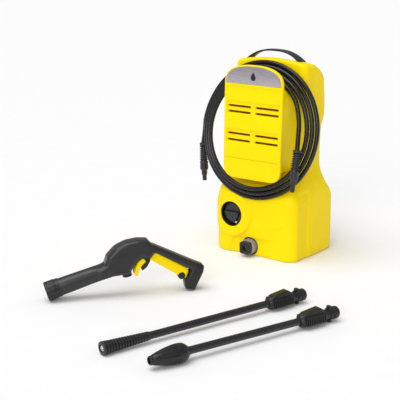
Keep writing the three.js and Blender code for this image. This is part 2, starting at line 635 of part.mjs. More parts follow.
function gunShells() {
  const barrel = turned([[0, 0], [17.4, 0], [16.4, 60], [15, 120], [0, 120]],
    barrelPoint(MUZZLE.length + GAP), slope, 24);
  const hump = slab(outline(HUMP_OUTLINE), "xz", -18, 18, 5);
  const handle = slab(outline(HANDLE_OUTLINE), "xz", -14, 14, 3);
  const capZone = (radius) => rod(radius, [TRIGGER_PIVOT[0], -30, TRIGGER_PIVOT[1]], [0, 1, 0],
    60, 72);
  const cap = cut(handle, capZone(CAP_RADIUS));
  addPart("handle_cap", cap, BLACK, gun);

  const valveSeat = turned([[0, 0], [10.5, 0], [10.5, 150], [0, 150]], barrelPoint(20), slope, 20);
  const hoseSeat = rod(9.8, [157, 0, 62], HOSE_SOCKET_AXIS, 40, 20);
  const releaseSlot = slab(outline([[171, 30], [206, 60], [197, 80], [188, 80], [178, 66],
    [171, 50]]), "xz", -11.5, 11.5);
  const pinHole = rod(2.8, [TRIGGER_PIVOT[0], -30, TRIGGER_PIVOT[1]], [0, 1, 0], 60, 14);
  const body = join(barrel, hump, common(handle, capZone(CAP_RADIUS - GAP)));
  const hollow = cut(body, valveSeat, hoseSeat, releaseSlot, triggerChannel(), pinHole);
  addPart("gun_shell_right", common(hollow, box(-50, 400, -40, -GAP / 2, -10, 200)), DARK_GREY, gun);
  addPart("gun_shell_left", common(hollow, box(-50, 400, GAP / 2, 40, -10, 200)), DARK_GREY, gun);
}

function gunInsides() {
  const pinHole = rod(2.8, [TRIGGER_PIVOT[0], -30, TRIGGER_PIVOT[1]], [0, 1, 0], 60, 14);
  const lockPocket = rod(LOCK.radius + 0.5, [LOCK.s, -20, LOCK.h], [0, 1, 0], 40, 24);
  addPart("gun_trigger", cut(sweptTrigger(9, 0), pinHole, lockPocket), YELLOW, gun);
  addPart("trigger_pin", rod(2.5, [TRIGGER_PIVOT[0], -16, TRIGGER_PIVOT[1]], [0, 1, 0], 32, 14),
    STEEL, gun);
  const lock = common(rod(LOCK.radius, [LOCK.s, -9.5, LOCK.h], [0, 1, 0], 19, 24),
    slab(outline([[LOCK.s - 12, LOCK.h + 6], [LOCK.s - 2, LOCK.h - 14], [LOCK.s + 14, LOCK.h - 4],
      [LOCK.s + 4, LOCK.h + 16]]), "xz", -20, 20));
  addPart("trigger_lock", lock, BLACK, gun);

  const collar = turned([[0, 0], [MUZZLE.radius - 1.5, 0], [MUZZLE.radius, 1.5],
    [MUZZLE.radius, MUZZLE.length], [0, MUZZLE.length]], barrelPoint(0), slope, 28);
  const socket = rod(12.4, barrelPoint(-2), slope, 22, 24);
  const throat = rod(5, barrelPoint(-2), slope, 40, 16);
  addPart("gun_muzzle", cut(collar, socket, throat), BLACK, gun);
  const valve = turned([[0, 106], [3, 106], [3, 0], [10, 0], [10, 100], [6, 104], [6, 112],
    [0, 112]], barrelPoint(MUZZLE.length + 1), slope, 20);
  addPart("gun_valve", valve, BRASS, gun);
  addPart("gun_hose_socket", ring(5.4, 9.4, [159.6, 0, 49], HOSE_SOCKET_AXIS, 9), BLACK, gun);
  const release = outline([[176, 37, 2], [181, 40], [184.5, 52], [190, 62], [196, 70],
    [193, 74, 2], [186, 69], [179, 56], [175.5, 44]]);
  addPart("hose_release", slab(release, "xz", -11, 11), YELLOW, gun);
}

// ---------------------------------------------------------------- lances
/** Builds a lance along its own +Y axis, from the spray tip to the bayonet end. */
function lanceGroup(place) {
  const group = new THREE.Group();
  const direction = vector(place.end).sub(vector(place.tip)).normalize();
  const side = new THREE.Vector3().crossVectors(direction, Z).normalize();
  const up = new THREE.Vector3().crossVectors(side, direction);
  group.applyMatrix4(new THREE.Matrix4().makeBasis(side, direction, up).setPosition(...place.tip));
  washer.add(group);
  return { group, length: vector(place.end).distanceTo(vector(place.tip)) };
}

/** The grip, bayonet lugs and round end that plug into the gun. */
function lanceCoupling(name, group, length) {
  const start = length - COUPLING_LENGTH;
  const core = turned([[0, 0], [9, 0], [13, 5], [13, 55], [10, 57], [10, 68], [12, 69], [12, 74],
    [10, 75], [12, 77], [12, 88], [10.5, 90], [0, 90]], [0, start, 0], [0, 1, 0], 18);
  const wedge = slab(outline([[start + 1, 0], [start + 60, 0], [start + 53, 13], [start + 44, 18.5],
    [start + 10, 14], [start + 1, 8]]), "yz", -9, 9, 2);
  const lugs = box(-5, 5, start + 67, start + 75, -15.2, 15.6);
  const grip = box(-15, 15, start + 9, start + 52, -8, 8);
  const seat = rod(TUBE.radius + GAP, [0, start - 5, 0], [0, 1, 0], 25, 16);
  addPart(name, cut(join(core, wedge, lugs, grip), seat), BLACK, group);
}

function lanceTube(name, group, from, to) {
  addPart(name, ring(TUBE.bore, TUBE.radius, [0, from, 0], [0, 1, 0], to - from, 16), DARK_GREY,
    group);
}

function fanLance() {
  const { group, length } = lanceGroup(FAN_LANCE);
  const bore = TUBE.radius + 0.5;
  const profile = [[bore, 0], [11.6, 0], [12.2, 2], [12.2, 7], [8.4, 91], [7.7, 95], [bore, 95],
    [bore, 0]];
  addPart("fan_nozzle_sleeve", turned(profile, [0, 0, 0], [0, 1, 0], 16), DARK_GREY, group);
  const tip = [[1.2, 0], [5, 0], [6.2, 3], [6.2, 12.5], [1.2, 12.5], [1.2, 0]];
  addPart("fan_nozzle_tip", turned(tip, [0, 1, 0], [0, 1, 0], 16), STEEL, group);
  lanceTube("fan_lance_tube", group, 14, length - COUPLING_LENGTH + 19.6);
  lanceCoupling("fan_lance_coupling", group, length);
}

function rotaryLance() {
  const { group, length } = lanceGroup(ROTARY_LANCE);
  const shell = [[5.4, 0], [7.8, 0], [8.8, 3], [14.6, 32], [16.9, 56], [16.5, 64], [12, 73],
    [9.2, 76], [TUBE.radius + 0.5, 76], [TUBE.radius + 0.5, 64], [13.2, 58], [11.6, 32], [6, 5],
    [5.4, 0]];
  addPart("rotary_nozzle_housing", turned(shell, [0, 0, 0], [0, 1, 0], 24), BLACK, group);
  const rotor = [[0, 0], [3.4, 0], [5.2, 6], [9.8, 32], [10.6, 46], [4, 55], [0, 55]];
  addPart("nozzle_rotor", turned(rotor, [0, 3.5, 0], [0, 1, 0], 16), BRASS, group);
  lanceTube("rotary_lance_tube", group, 63, length - COUPLING_LENGTH + 19.6);
  lanceCoupling("rotary_lance_coupling", group, length);
}

// ---------------------------------------------------------------- assembly
housingShells();
basePlate();
hoseHanger();
carryHandle();
rotarySwitch();
pump();
gearHousing();
motor();
waterPath();
hose();
hoseConnector("hose_connector_left", LEFT_CONNECTOR);
hoseConnector("hose_connector_right", RIGHT_CONNECTOR);
gunShells();
gunInsides();
fanLance();
rotaryLance();

export default washer;
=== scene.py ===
import json
import math

import bmesh
import bpy
import numpy as np
from mathutils import Matrix, Vector


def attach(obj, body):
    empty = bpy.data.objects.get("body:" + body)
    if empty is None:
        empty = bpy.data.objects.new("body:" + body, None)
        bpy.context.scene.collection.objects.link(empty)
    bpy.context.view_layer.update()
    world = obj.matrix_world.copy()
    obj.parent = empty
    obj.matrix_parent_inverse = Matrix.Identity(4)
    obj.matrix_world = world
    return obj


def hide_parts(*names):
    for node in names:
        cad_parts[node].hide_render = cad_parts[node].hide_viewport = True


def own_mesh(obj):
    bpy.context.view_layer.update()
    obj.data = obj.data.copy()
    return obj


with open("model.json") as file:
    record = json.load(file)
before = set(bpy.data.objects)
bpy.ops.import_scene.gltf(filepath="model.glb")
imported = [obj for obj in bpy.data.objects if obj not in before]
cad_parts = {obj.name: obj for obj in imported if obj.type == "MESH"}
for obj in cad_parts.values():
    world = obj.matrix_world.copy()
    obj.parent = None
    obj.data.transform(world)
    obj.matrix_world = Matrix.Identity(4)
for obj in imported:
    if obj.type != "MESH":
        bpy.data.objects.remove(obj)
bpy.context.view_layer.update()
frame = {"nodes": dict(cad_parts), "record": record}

# Lengths below are in millimetres, in the row's frame, and become metres where a mesh is made.
MM = 0.001
SMOOTH_ANGLE = math.radians(38)


# ---------------------------------------------------------------- small helpers
def ramp(low, high, value):
    """0 below low, 1 above high, and a smooth step between them."""
    t = np.clip((np.asarray(value, float) - low) / (high - low), 0.0, 1.0)
    return t * t * (3.0 - 2.0 * t)


def profile(*keys):
    """A smooth curve through (place, value) keys that doesn't overshoot them."""
    xs, ys = (np.array(column, float) for column in zip(*keys))
    slopes = np.diff(ys) / np.diff(xs)
    tangents = np.concatenate(([slopes[0]], np.zeros(len(xs) - 2), [slopes[-1]]))
    for i in range(1, len(xs) - 1):
        before, after = slopes[i - 1], slopes[i]
        if before * after > 0:
            tangents[i] = 2 * before * after / (before + after)

    def value(x):
        x = np.clip(x, xs[0], xs[-1])
        i = np.clip(np.searchsorted(xs, x) - 1, 0, len(xs) - 2)
        width = xs[i + 1] - xs[i]
        t = (x - xs[i]) / width
        return (
            (1 + 2 * t) * (1 - t) ** 2 * ys[i]
            + t * (1 - t) ** 2 * width * tangents[i]
            + t * t * (3 - 2 * t) * ys[i + 1]
            + t * t * (t - 1) * width * tangents[i + 1]
        )

    return value


def turn_to(start, direction, up=(0, 0, 1)):
    """A frame at start whose +Y points along direction and whose +Z is as near up as it can be."""
    forward = Vector(direction).normalized()
    side = forward.cross(Vector(up)).normalized()
    top = side.cross(forward)
    columns = Matrix((side, forward, top)).transposed().to_4x4()
    return Matrix.Translation(Vector(start)) @ columns


def make_object(name, verts, faces, place=None):
    if place is not None:
        verts = [place @ Vector(v) for v in verts]
    mesh = bpy.data.meshes.new(name)
    mesh.from_pydata([tuple(c * MM for c in v) for v in verts], [], faces)
    obj = bpy.data.objects.new(name, mesh)
    bpy.context.scene.collection.objects.link(obj)
    return obj


def tidy_mesh(obj, merge=0.02):
    """Joins points that lie together and turns every face outwards."""
    work = bmesh.new()
    work.from_mesh(obj.data)
    bmesh.ops.remove_doubles(work, verts=work.verts, dist=merge * MM)
    bmesh.ops.dissolve_degenerate(work, edges=work.edges, dist=1e-7)
    bmesh.ops.recalc_face_normals(work, faces=work.faces)
    work.to_mesh(obj.data)
    work.free()
    return obj


def apply_modifiers(obj):
    depsgraph = bpy.context.evaluated_depsgraph_get()
    made = bpy.data.meshes.new_from_object(obj.evaluated_get(depsgraph))
    obj.modifiers.clear()
    old, obj.data = obj.data, made
    if isinstance(old, bpy.types.Mesh):
        bpy.data.meshes.remove(old)
    return obj


def boolean(target, cutter, operation):
    step = target.modifiers.new("boolean", "BOOLEAN")
    step.operation = operation
    step.object = cutter
    step.solver = "EXACT"
    apply_modifiers(target)
    bpy.data.objects.remove(cutter)
    return target


def cut(target, *cutters):
    for cutter in cutters:
        boolean(target, cutter, "DIFFERENCE")
    return target


def join(target, *others):
    for other in others:
        boolean(target, other, "UNION")
    return target


def bevel(obj, width, segments=3, angle=35):
    step = obj.modifiers.new("bevel", "BEVEL")
    step.width = width * MM
    step.segments = segments
    step.limit_method = "ANGLE"
    step.angle_limit = math.radians(angle)
    step.harden_normals = False
    return apply_modifiers(obj)


def finish_piece(obj, material, body, stands_for=(), angle=SMOOTH_ANGLE):
    """Gives a piece its material, its smooth shading and its body, and hides the CAD nodes it
    stands for.
    """
    obj.data.materials.clear()
    obj.data.materials.append(MATERIALS[material])
    obj.data.polygons.foreach_set("material_index", [0] * len(obj.data.polygons))
    obj.data.polygons.foreach_set("use_smooth", [True] * len(obj.data.polygons))
    obj.data.set_sharp_from_angle(angle=angle)
    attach(obj, body)
    if stands_for:
        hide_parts(*stands_for)
    return obj


def grid_faces(rows, columns, wrap=False):
    across = columns if wrap else columns - 1
    return [
        (r * columns + c, r * columns + (c + 1) % columns,
         (r + 1) * columns + (c + 1) % columns, (r + 1) * columns + c)
        for r in range(rows - 1) for c in range(across)
    ]


def turned(name, points, start, direction, sides=48, closed=False):
    """A turned solid: points are (radius, distance); a closed one is a ring."""
    place = turn_to(start, direction, (0.3, 0.2, 1) if abs(direction[2]) > 0.9 else (0, 0, 1))
    rows = [*points, points[0]] if closed else points
    verts = []
    for radius, distance in rows:
        for i in range(sides):
            angle = 2 * math.pi * i / sides
            verts.append((radius * math.cos(angle), distance, radius * math.sin(angle)))
    obj = make_object(name, verts, grid_faces(len(rows), sides, wrap=True), place)
    return tidy_mesh(obj, 0.005)


def rounded_outline(points, steps=5):
    """An outline through (a, b, corner radius) points, with its corners as arcs."""
    made = []
    count = len(points)
    for i, point in enumerate(points):
        corner = Vector(point[:2])
        radius = point[2] if len(point) > 2 else 0
        if radius == 0:
            made.append(corner)
            continue
        before = Vector(points[i - 1][:2]) - corner
        after = Vector(points[(i + 1) % count][:2]) - corner
        opening = before.angle(after)
        reach = min(radius / math.tan(opening / 2), 0.49 * before.length, 0.49 * after.length)
        first = corner + before.normalized() * reach
        last = corner + after.normalized() * reach
        for k in range(steps + 1):
            t = k / steps
            made.append(first * (1 - t) ** 2 + corner * 2 * t * (1 - t) + last * t * t)
    return [tuple(p) for p in made]


PLANES = {
    "xz": Matrix(((1, 0, 0, 0), (0, 0, -1, 0), (0, 1, 0, 0), (0, 0, 0, 1))),
    "yz": Matrix(((0, 0, 1, 0), (1, 0, 0, 0), (0, 1, 0, 0), (0, 0, 0, 1))),
    "xy": Matrix.Identity(4),
}


def slab(name, outline, plane, low, high, edge=0.0, place=None, edge_steps=3):
    """An outline drawn in a plane and given thickness from low to high, with rounded edges."""
    curve = bpy.data.curves.new(name, "CURVE")
    curve.dimensions = "2D"
    curve.fill_mode = "BOTH"
    area = sum(
        outline[i - 1][0] * outline[i][1] - outline[i][0] * outline[i - 1][1]
        for i in range(len(outline))
    )
    loop = outline if area > 0 else outline[::-1]
    spline = curve.splines.new("POLY")
    spline.points.add(len(loop) - 1)
    for point, (a, b) in zip(spline.points, loop):
        point.co = (a * MM, b * MM, 0, 1)
    spline.use_cyclic_u = True
    curve.extrude = ((high - low) / 2 - edge) * MM
    curve.bevel_depth = edge * MM
    curve.bevel_resolution = edge_steps
    curve.offset = -edge * MM
    middle = (low + high) / 2 * (-1 if plane == "xz" else 1)
    lifted = PLANES[plane] @ Matrix.Translation((0, 0, middle * MM))
    shape = bpy.data.objects.new(name + "_curve", curve)
    bpy.context.scene.collection.objects.link(shape)
    depsgraph = bpy.context.evaluated_depsgraph_get()
    mesh = bpy.data.meshes.new_from_object(shape.evaluated_get(depsgraph))
    bpy.data.objects.remove(shape)
    mesh.name = name
    mesh.materials.clear()
    mesh.transform(lifted)
    if place is not None:
        metres = place.copy()
        metres.translation = place.translation * MM
        mesh.transform(metres)
    obj = bpy.data.objects.new(name, mesh)
    bpy.context.scene.collection.objects.link(obj)
    return tidy_mesh(obj, 0.004)


def block(name, low, high, place=None):
    corners = [
        (x, y, z) for x in (low[0], high[0]) for y in (low[1], high[1]) for z in (low[2], high[2])
    ]
    faces = [(0, 1, 3, 2), (4, 6, 7, 5), (0, 4, 5, 1), (2, 3, 7, 6), (0, 2, 6, 4), (1, 5, 7, 3)]
    return tidy_mesh(make_object(name, corners, faces, place))


def round_profile(points, radius_steps=4):
    """A turned profile whose (radius, distance, rounding) corners are eased."""
    made = []
    for i, point in enumerate(points):
        corner = Vector(point[:2])
        ease = point[2] if len(point) > 2 else 0
        if ease == 0 or i in (0, len(points) - 1):
            made.append(tuple(corner))
            continue
        first = corner + (Vector(points[i - 1][:2]) - corner).normalized() * ease
        last = corner + (Vector(points[i + 1][:2]) - corner).normalized() * ease
        for k in range(radius_steps + 1):
            t = k / radius_steps
            made.append(tuple(first * (1 - t) ** 2 + corner * 2 * t * (1 - t) + last * t * t))
    return made


# ---------------------------------------------------------------- camera
CAMERA_PLACE = (1.22933, -1.93583, 0.70262)
CAMERA_PITCH = 14.596
CAMERA_HEADING = 36.6545
CAMERA_LENS = 95.57
CAMERA_SENSOR = 36.0


def make_camera():
    data = bpy.data.cameras.new("camera")
    data.lens = CAMERA_LENS
    data.sensor_width = CAMERA_SENSOR
    data.clip_start = 0.05
    data.clip_end = 100
    camera = bpy.data.objects.new("camera", data)
    camera.location = CAMERA_PLACE
    camera.rotation_euler = (math.radians(90 - CAMERA_PITCH), 0, math.radians(CAMERA_HEADING))
    bpy.context.scene.collection.objects.link(camera)
    bpy.context.scene.camera = camera


# ---------------------------------------------------------------- materials
def surface(name, colour, roughness, metallic=0.0, mottle=0.05, grain=900.0, bump=0.04,
            spread=0.08, stretch=(1, 1, 1), coat=0.0, specular=0.5):
    """A procedural material: mottled colour, uneven gloss and a fine moulded or drawn grain."""
    material = bpy.data.materials.new(name)
    material.use_nodes = True
    nodes, links = material.node_tree.nodes, material.node_tree.links
    shader = nodes["Principled BSDF"]
    shader.inputs["Metallic"].default_value = metallic
    shader.inputs["Specular IOR Level"].default_value = specular
    shader.inputs["Coat Weight"].default_value = coat
    shader.inputs["Coat Roughness"].default_value = 0.12

    place = nodes.new("ShaderNodeTexCoord")
    mapping = nodes.new("ShaderNodeMapping")
    mapping.inputs["Scale"].default_value = stretch
    links.new(place.outputs["Object"], mapping.inputs["Vector"])

    clouds = nodes.new("ShaderNodeTexNoise")
    clouds.inputs["Scale"].default_value = 22.0
    clouds.inputs["Detail"].default_value = 4.0
    links.new(mapping.outputs["Vector"], clouds.inputs["Vector"])
    tint = nodes.new("ShaderNodeValToRGB")
    darker = [c * (1 - mottle) for c in colour]
    lighter = [min(1.0, c * (1 + mottle)) for c in colour]
    tint.color_ramp.elements[0].position = 0.3
    tint.color_ramp.elements[0].color = (*darker, 1)
    tint.color_ramp.elements[1].position = 0.7
    tint.color_ramp.elements[1].color = (*lighter, 1)
    links.new(clouds.outputs["Fac"], tint.inputs["Fac"])
    links.new(tint.outputs["Color"], shader.inputs["Base Color"])

    fine = nodes.new("ShaderNodeTexNoise")
    fine.inputs["Scale"].default_value = grain
    fine.inputs["Detail"].default_value = 2.0
    links.new(mapping.outputs["Vector"], fine.inputs["Vector"])
    gloss = nodes.new("ShaderNodeMapRange")
    gloss.inputs["To Min"].default_value = max(0.02, roughness - spread)
    gloss.inputs["To Max"].default_value = min(1.0, roughness + spread)
    links.new(fine.outputs["Fac"], gloss.inputs["Value"])
    links.new(gloss.outputs["Result"], shader.inputs["Roughness"])
    relief = nodes.new("ShaderNodeBump")
    relief.inputs["Strength"].default_value = bump
    relief.inputs["Distance"].default_value = 0.0004
    links.new(fine.outputs["Fac"], relief.inputs["Height"])
    links.new(relief.outputs["Normal"], shader.inputs["Normal"])
    return material


def make_materials():
    return {
        "yellow": surface("yellow", (1.0, 0.74, 0.0), 0.42, mottle=0.02, bump=0.04, specular=0.12),
        "black": surface("black", (0.011, 0.011, 0.012), 0.36, mottle=0.12, bump=0.12,
                         specular=0.42),
        "dark_grey": surface("dark_grey", (0.017, 0.017, 0.019), 0.34, mottle=0.12, bump=0.14,
                             specular=0.5),
        "tube": surface("tube", (0.016, 0.016, 0.018), 0.26, mottle=0.08, bump=0.05,
                        specular=0.45),
        "light_grey": surface("light_grey", (0.27, 0.26, 0.29), 0.4, mottle=0.06, bump=0.08),
        "badge": surface("badge", (0.5, 0.46, 0.5), 0.3, metallic=0.9, mottle=0.16, grain=60.0,
                         bump=0.12, stretch=(3, 1, 60), coat=0.3),
        "hose": surface("hose", (0.006, 0.006, 0.007), 0.27, mottle=0.15, grain=500.0, bump=0.08,
                        specular=0.45),
        "steel": surface("steel", (0.6, 0.6, 0.62), 0.28, metallic=1.0, mottle=0.06),
        "copper": surface("copper", (0.45, 0.2, 0.09), 0.35, metallic=0.8, mottle=0.15,
                          grain=300.0, bump=0.3, stretch=(1, 1, 8)),
        "acetal": surface("acetal", (0.8, 0.78, 0.7), 0.4, mottle=0.04),
        "brass": surface("brass", (0.62, 0.45, 0.19), 0.28, metallic=1.0, mottle=0.08),
        "aluminium": surface("aluminium", (0.66, 0.67, 0.68), 0.46, metallic=1.0, mottle=0.06,
                             grain=1400.0, bump=0.25),
        # Painted shade: a dark brown that stands in for the shade on the yellow walls inside the
        # hollow behind the hanger's slots.
        "slot_shade_paint": surface("slot_shade_paint", (0.32, 0.1, 0.004), 0.6, mottle=0.1),
        "pale_dot": surface("pale_dot", (0.8, 0.8, 0.8), 0.4, mottle=0.03),
    }


# ---------------------------------------------------------------- hose
HOSE_DIAMETER = 10.0
COIL_CENTRE = Vector((-4, -71, 275.5))
COIL_TILT = math.radians(10.5)
COIL_ACROSS = 142.0              # half width and half height of the outermost turn
COIL_UP = 145.0
COIL_PITCH = 9.4                 # the turns draw in this much each time round
COIL_RISE = 5.2                  # and come forward this much
COIL_TURNS = 3.36
LEFT_CONNECTOR = ((-163, -52, 226), (-159.2, -52, 140))
RIGHT_CONNECTOR = ((112, -99.5, 251), (109.5, -111.5, 164))
LEFT_TAIL = [(-162.6, -52, 223), (-162.7, -51.9, 229), (-160, -52, 246), (-157, -53.5, 262)]
RIGHT_TAIL = [(84, -66, 347.5), (92.5, -69, 329.5), (98.5, -73.5, 311), (102.5, -79, 294),
              (105.8, -86, 277), (109.3, -93.5, 263), (112, -99.6, 249)]


def coil_point(turn):
    """A point on the tilted coil, counted in turns clockwise from its left side.

    Each turn keeps its radius and steps inwards on the left, behind the hanger's plate.
    """
    angle = math.pi - 2 * math.pi * turn
    whole = math.floor(turn + 0.5)
    steps = whole - 1 + float(ramp(whole - 0.13, whole + 0.09, turn))
    inward = COIL_PITCH * steps
    forward = -5.6 + COIL_RISE * steps
    across = Vector((1, 0, 0))
    up = Vector((0, math.sin(COIL_TILT), math.cos(COIL_TILT)))
    out = Vector((0, -math.cos(COIL_TILT), math.sin(COIL_TILT)))
    return (
        COIL_CENTRE
        + across * (COIL_ACROSS - inward) * math.cos(angle)
        + up * (COIL_UP - inward) * math.sin(angle)
        + out * forward
    )


def hose_route():
    """From the left connector up into the coil, round it, and down to the right connector."""
    first = 0.012
    count = 100
    turns = [first + (COIL_TURNS - first) * i / count for i in range(count + 1)]
    coil = [coil_point(turn) for turn in turns]
    return [*map(Vector, LEFT_TAIL), *coil, *map(Vector, RIGHT_TAIL)]


def smooth_line(points, per_span=4):
    """More points along a Catmull-Rom curve through the given ones."""
    made = []
    padded = [points[0] * 2 - points[1], *points, points[-1] * 2 - points[-2]]
    for a, b, c, d in zip(padded, padded[1:], padded[2:], padded[3:]):
        for k in range(per_span):
            t = k / per_span
            made.append(0.5 * (2 * b + (c - a) * t + (2 * a - 5 * b + 4 * c - d) * t * t
                               + (3 * b - a - 3 * c + d) * t**3))
    return [*made, points[-1]]


def make_hose():
    line = smooth_line(hose_route())
    length = sum((b - a).length for a, b in zip(line, line[1:])) * MM
    curve = bpy.data.curves.new("hose", "CURVE")
    curve.dimensions = "3D"
    curve.bevel_depth = HOSE_DIAMETER / 2 * MM
    curve.bevel_resolution = 7
    curve.use_fill_caps = True
    spline = curve.splines.new("POLY")
    spline.points.add(len(line) - 1)
    for point, place in zip(spline.points, line):
        point.co = (*(place * MM), 1)
    spline.use_smooth = True
    hose = bpy.data.objects.new("hose", curve)
    bpy.context.scene.collection.objects.link(hose)
    curve.materials.append(MATERIALS["hose"])
    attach(hose, "root")
    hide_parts("hose_coil", "hose_tail_left", "hose_tail_right")
    return hose, length


def make_connector(name, node, ends):
    """A grip on the hose's end: collar with a tab, ribbed boot, ring, and two smaller steps."""
    start, end = Vector(ends[0]), Vector(ends[1])
    direction = end - start
    length = direction.length
    points = [(5.2, 0), (7.6, 0, 0.5), (8.6, 1, 0.5), (8.6, 5, 0.5), (7.8, 5.6, 0.3)]
    for i in range(7):
        foot = 7.2 + i * 4.9
        base = 6.0 + 0.12 * i
        points += [(base, foot, 0.2), (base + 2.8, foot + 0.5, 0.8),
                   (base + 2.8, foot + 2.5, 0.8), (base, foot + 3.0, 0.2)]
    points += [(8.7, 43, 0.3), (9.5, 43.6, 0.4), (9.5, 45.6, 0.4), (8.9, 46.2, 0.3),
               (9.4, 57, 1.0), (9.2, 60, 0.8), (6.9, 62.5, 0.4), (6.6, 63, 0.2), (6.6, 71, 0.5),
               (5.9, 71.6, 0.2), (5.9, 73.5, 0.2), (4.9, 74, 0.2), (4.9, length - 0.8, 0.5),
               (4.2, length, 0.2), (0, length)]
    body = turned(name, [(0, 0), *round_profile(points, 2)], start, direction, 36)
    place = turn_to(start, direction, (0, -1, 0.2))
    tab = block(name + "_tab", (-12.2, 0.5, -3.2), (-6, 4.6, 3.2), place)
    bevel(tab, 0.7)
    join(body, tab)
    return finish_piece(body, "dark_grey", "root", [node])


# ---------------------------------------------------------------- housing
HALF = profile((1.5, 100.5), (5, 102.5), (9, 103), (124, 103), (136, 102), (150, 99), (163, 95),
               (176, 89.5), (190, 85.4), (204, 84), (360, 88), (420, 88.5))
FRONT = profile((1.5, -86.5), (5, -88.5), (9, -89), (120, -89), (134, -86.6), (148, -78.6),
                (162, -64), (176, -47), (189, -37), (204, -34), (420, -34))
REAR = profile((1.5, 76.5), (5, 78.6), (9, 79), (118, 79), (131, 74.6), (142, 68.5), (152, 61),
               (163, 56.6), (177, 55), (262, 54.6), (277, 56), (288, 60), (301, 65.2), (318, 65.6),
               (345, 63.6), (372, 61), (420, 60))
FRONT_CORNER = profile((0, 27), (140, 27), (190, 16), (420, 14))
REAR_CORNER = profile((0, 26), (300, 26), (372, 29), (420, 34))
SEAM = profile((0, -6), (7, -8), (18, -15), (29, -21.5), (50, -25), (84, -25), (117, -22.5),
               (131, -20.5), (138, -15), (145, -8), (152, -5), (164, -8), (185, -11.5),
               (200, -12), (383, -8), (430, -8))
REAR_FALL = profile((-40, 0), (-16, 0), (-2, 1.6), (11, 5.4), (25, 12), (38, 21.5), (50, 31.5),
                    (62, 43))
WALL_TOP = 352.0                 # above this every column of the walls has its own height
WALL_THICKNESS = 2.2
TOP_HEIGHT = 420.0               # where the seam crosses the housing's top
SIDE_ROUNDING, FRONT_ROUNDING, REAR_ROUNDING = 10.0, 4.5, 12.0
SEAM_GROOVE = 2.0
SEAM_HALF_WIDTH = 2.2
KNOB = (-56.5, 87.0)
OUTLET = (-9.0, 20.5)
KNOB_HOLE = 28.0
KNOB_PAD = 50.0
PAD_RAISED = 3.4
OUTLET_HOLE = 20.5
SHELL_SHARP = math.radians(50)


def crown(x, y):
    """The height of the housing's top, with the scooped hand recess under the strap."""
    top = 424.5 - 9 * (x / 84) ** 2 - REAR_FALL(y)
    dish = np.clip(1 - ((y + 3) / 20) ** 2, 0, 1) * ramp(64, 48, np.abs(x))
    return top - 10 * dish


def half_plan(z, front):
    """One shell's plan at a height, from its right seam edge round to its left: points, normals."""
    sign = -1 if front else 1
    half, seam = float(HALF(z)), float(SEAM(z))
    face = float(FRONT(z) if front else REAR(z))
    radius = float(FRONT_CORNER(z) if front else REAR_CORNER(z))
    side_length = abs(face - sign * radius - seam)
    near = [0.0, 0.5, 1.1, 1.8]
    far = np.linspace(3.0, side_length, 10 if front else 18)
    along = np.concatenate((near, far))
    x = [np.full(len(along), half)]
    y = [seam + sign * along]
    nx = [np.ones(len(along))]
    ny = [np.zeros(len(along))]
    arc = np.linspace(0, math.pi / 2, 13)[1:]
    x.append(half - radius + radius * np.cos(arc))
    y.append(face - sign * radius + sign * radius * np.sin(arc))
    nx.append(np.cos(arc))
    ny.append(sign * np.sin(arc))
    across = np.linspace(half - radius, 0, 48 if front else 30)[1:]
    x.append(across)
    y.append(np.full(len(across), face))
    nx.append(np.zeros(len(across)))
    ny.append(np.full(len(across), float(sign)))
    x, y, nx, ny = (np.concatenate(part) for part in (x, y, nx, ny))
    mirror = slice(-2, None, -1)
    return (
        np.concatenate((x, -x[mirror])),
        np.concatenate((y, y[mirror])),
        np.concatenate((nx, -nx[mirror])),
        np.concatenate((ny, ny[mirror])),
    )


def seam_dip(y, z):
    """The small rounded groove where the shells meet."""
    return -SEAM_GROOVE * np.clip(1 - np.abs(y - SEAM(z)) / SEAM_HALF_WIDTH, 0, 1)


def front_relief(x, y, z, nx, ny):
    """How far the front shell's features stand out of its plain form."""
    side = np.abs(nx) ** 4
    recess = ramp(-73, -67, y) * ramp(-29, -33, y) * ramp(152, 144, z)
    out = -3.2 * side * recess
    facing = ramp(0.6, 0.95, -ny)
    left_edge = -63.5 + 0.32 * (z - 6)
    top_edge = 38.5 + 0.055 * (x + 54)
    pocket = ramp(0, 3.2, top_edge - z) * ramp(0, 4.5, x - left_edge) * ramp(62, 18, x)
    out -= 3.4 * facing * pocket
    ridge_line = 72 + 0.013 * (x - 45) ** 2
    ridge = np.exp(-(((z - ridge_line) / 4.5) ** 2)) * ramp(42, 54, x) * ramp(92, 78, x)
    out += 1.3 * facing * ridge
    from_knob = np.hypot(x - KNOB[0], z - KNOB[1])
    pad = ramp(KNOB_PAD + 1.2, KNOB_PAD - 1.4, from_knob) * ramp(-0.2, 0.15, -ny)
    return out * (1 - pad) + PAD_RAISED * pad


def rear_relief(x, y, z, nx, ny):
    """The rear shell's shallow panel, its louvres and the recess round its fittings."""
    facing = ramp(0.8, 0.98, ny)
    panel = ramp(70, 66, np.abs(x)) * ramp(206, 211, z) * ramp(372, 367, z)
    louvres = np.clip(np.cos((z - 302) * 2 * math.pi / 10.4), 0, 1) ** 0.6
    slots = ramp(50, 47, np.abs(x)) * ramp(296, 299, z) * ramp(359, 356, z)
    fittings = ramp(66, 61, np.abs(x)) * ramp(14, 19, z) * ramp(62, 57, z)
    return -facing * (1.3 * panel + 2.6 * louvres * slots + 1.5 * fittings)


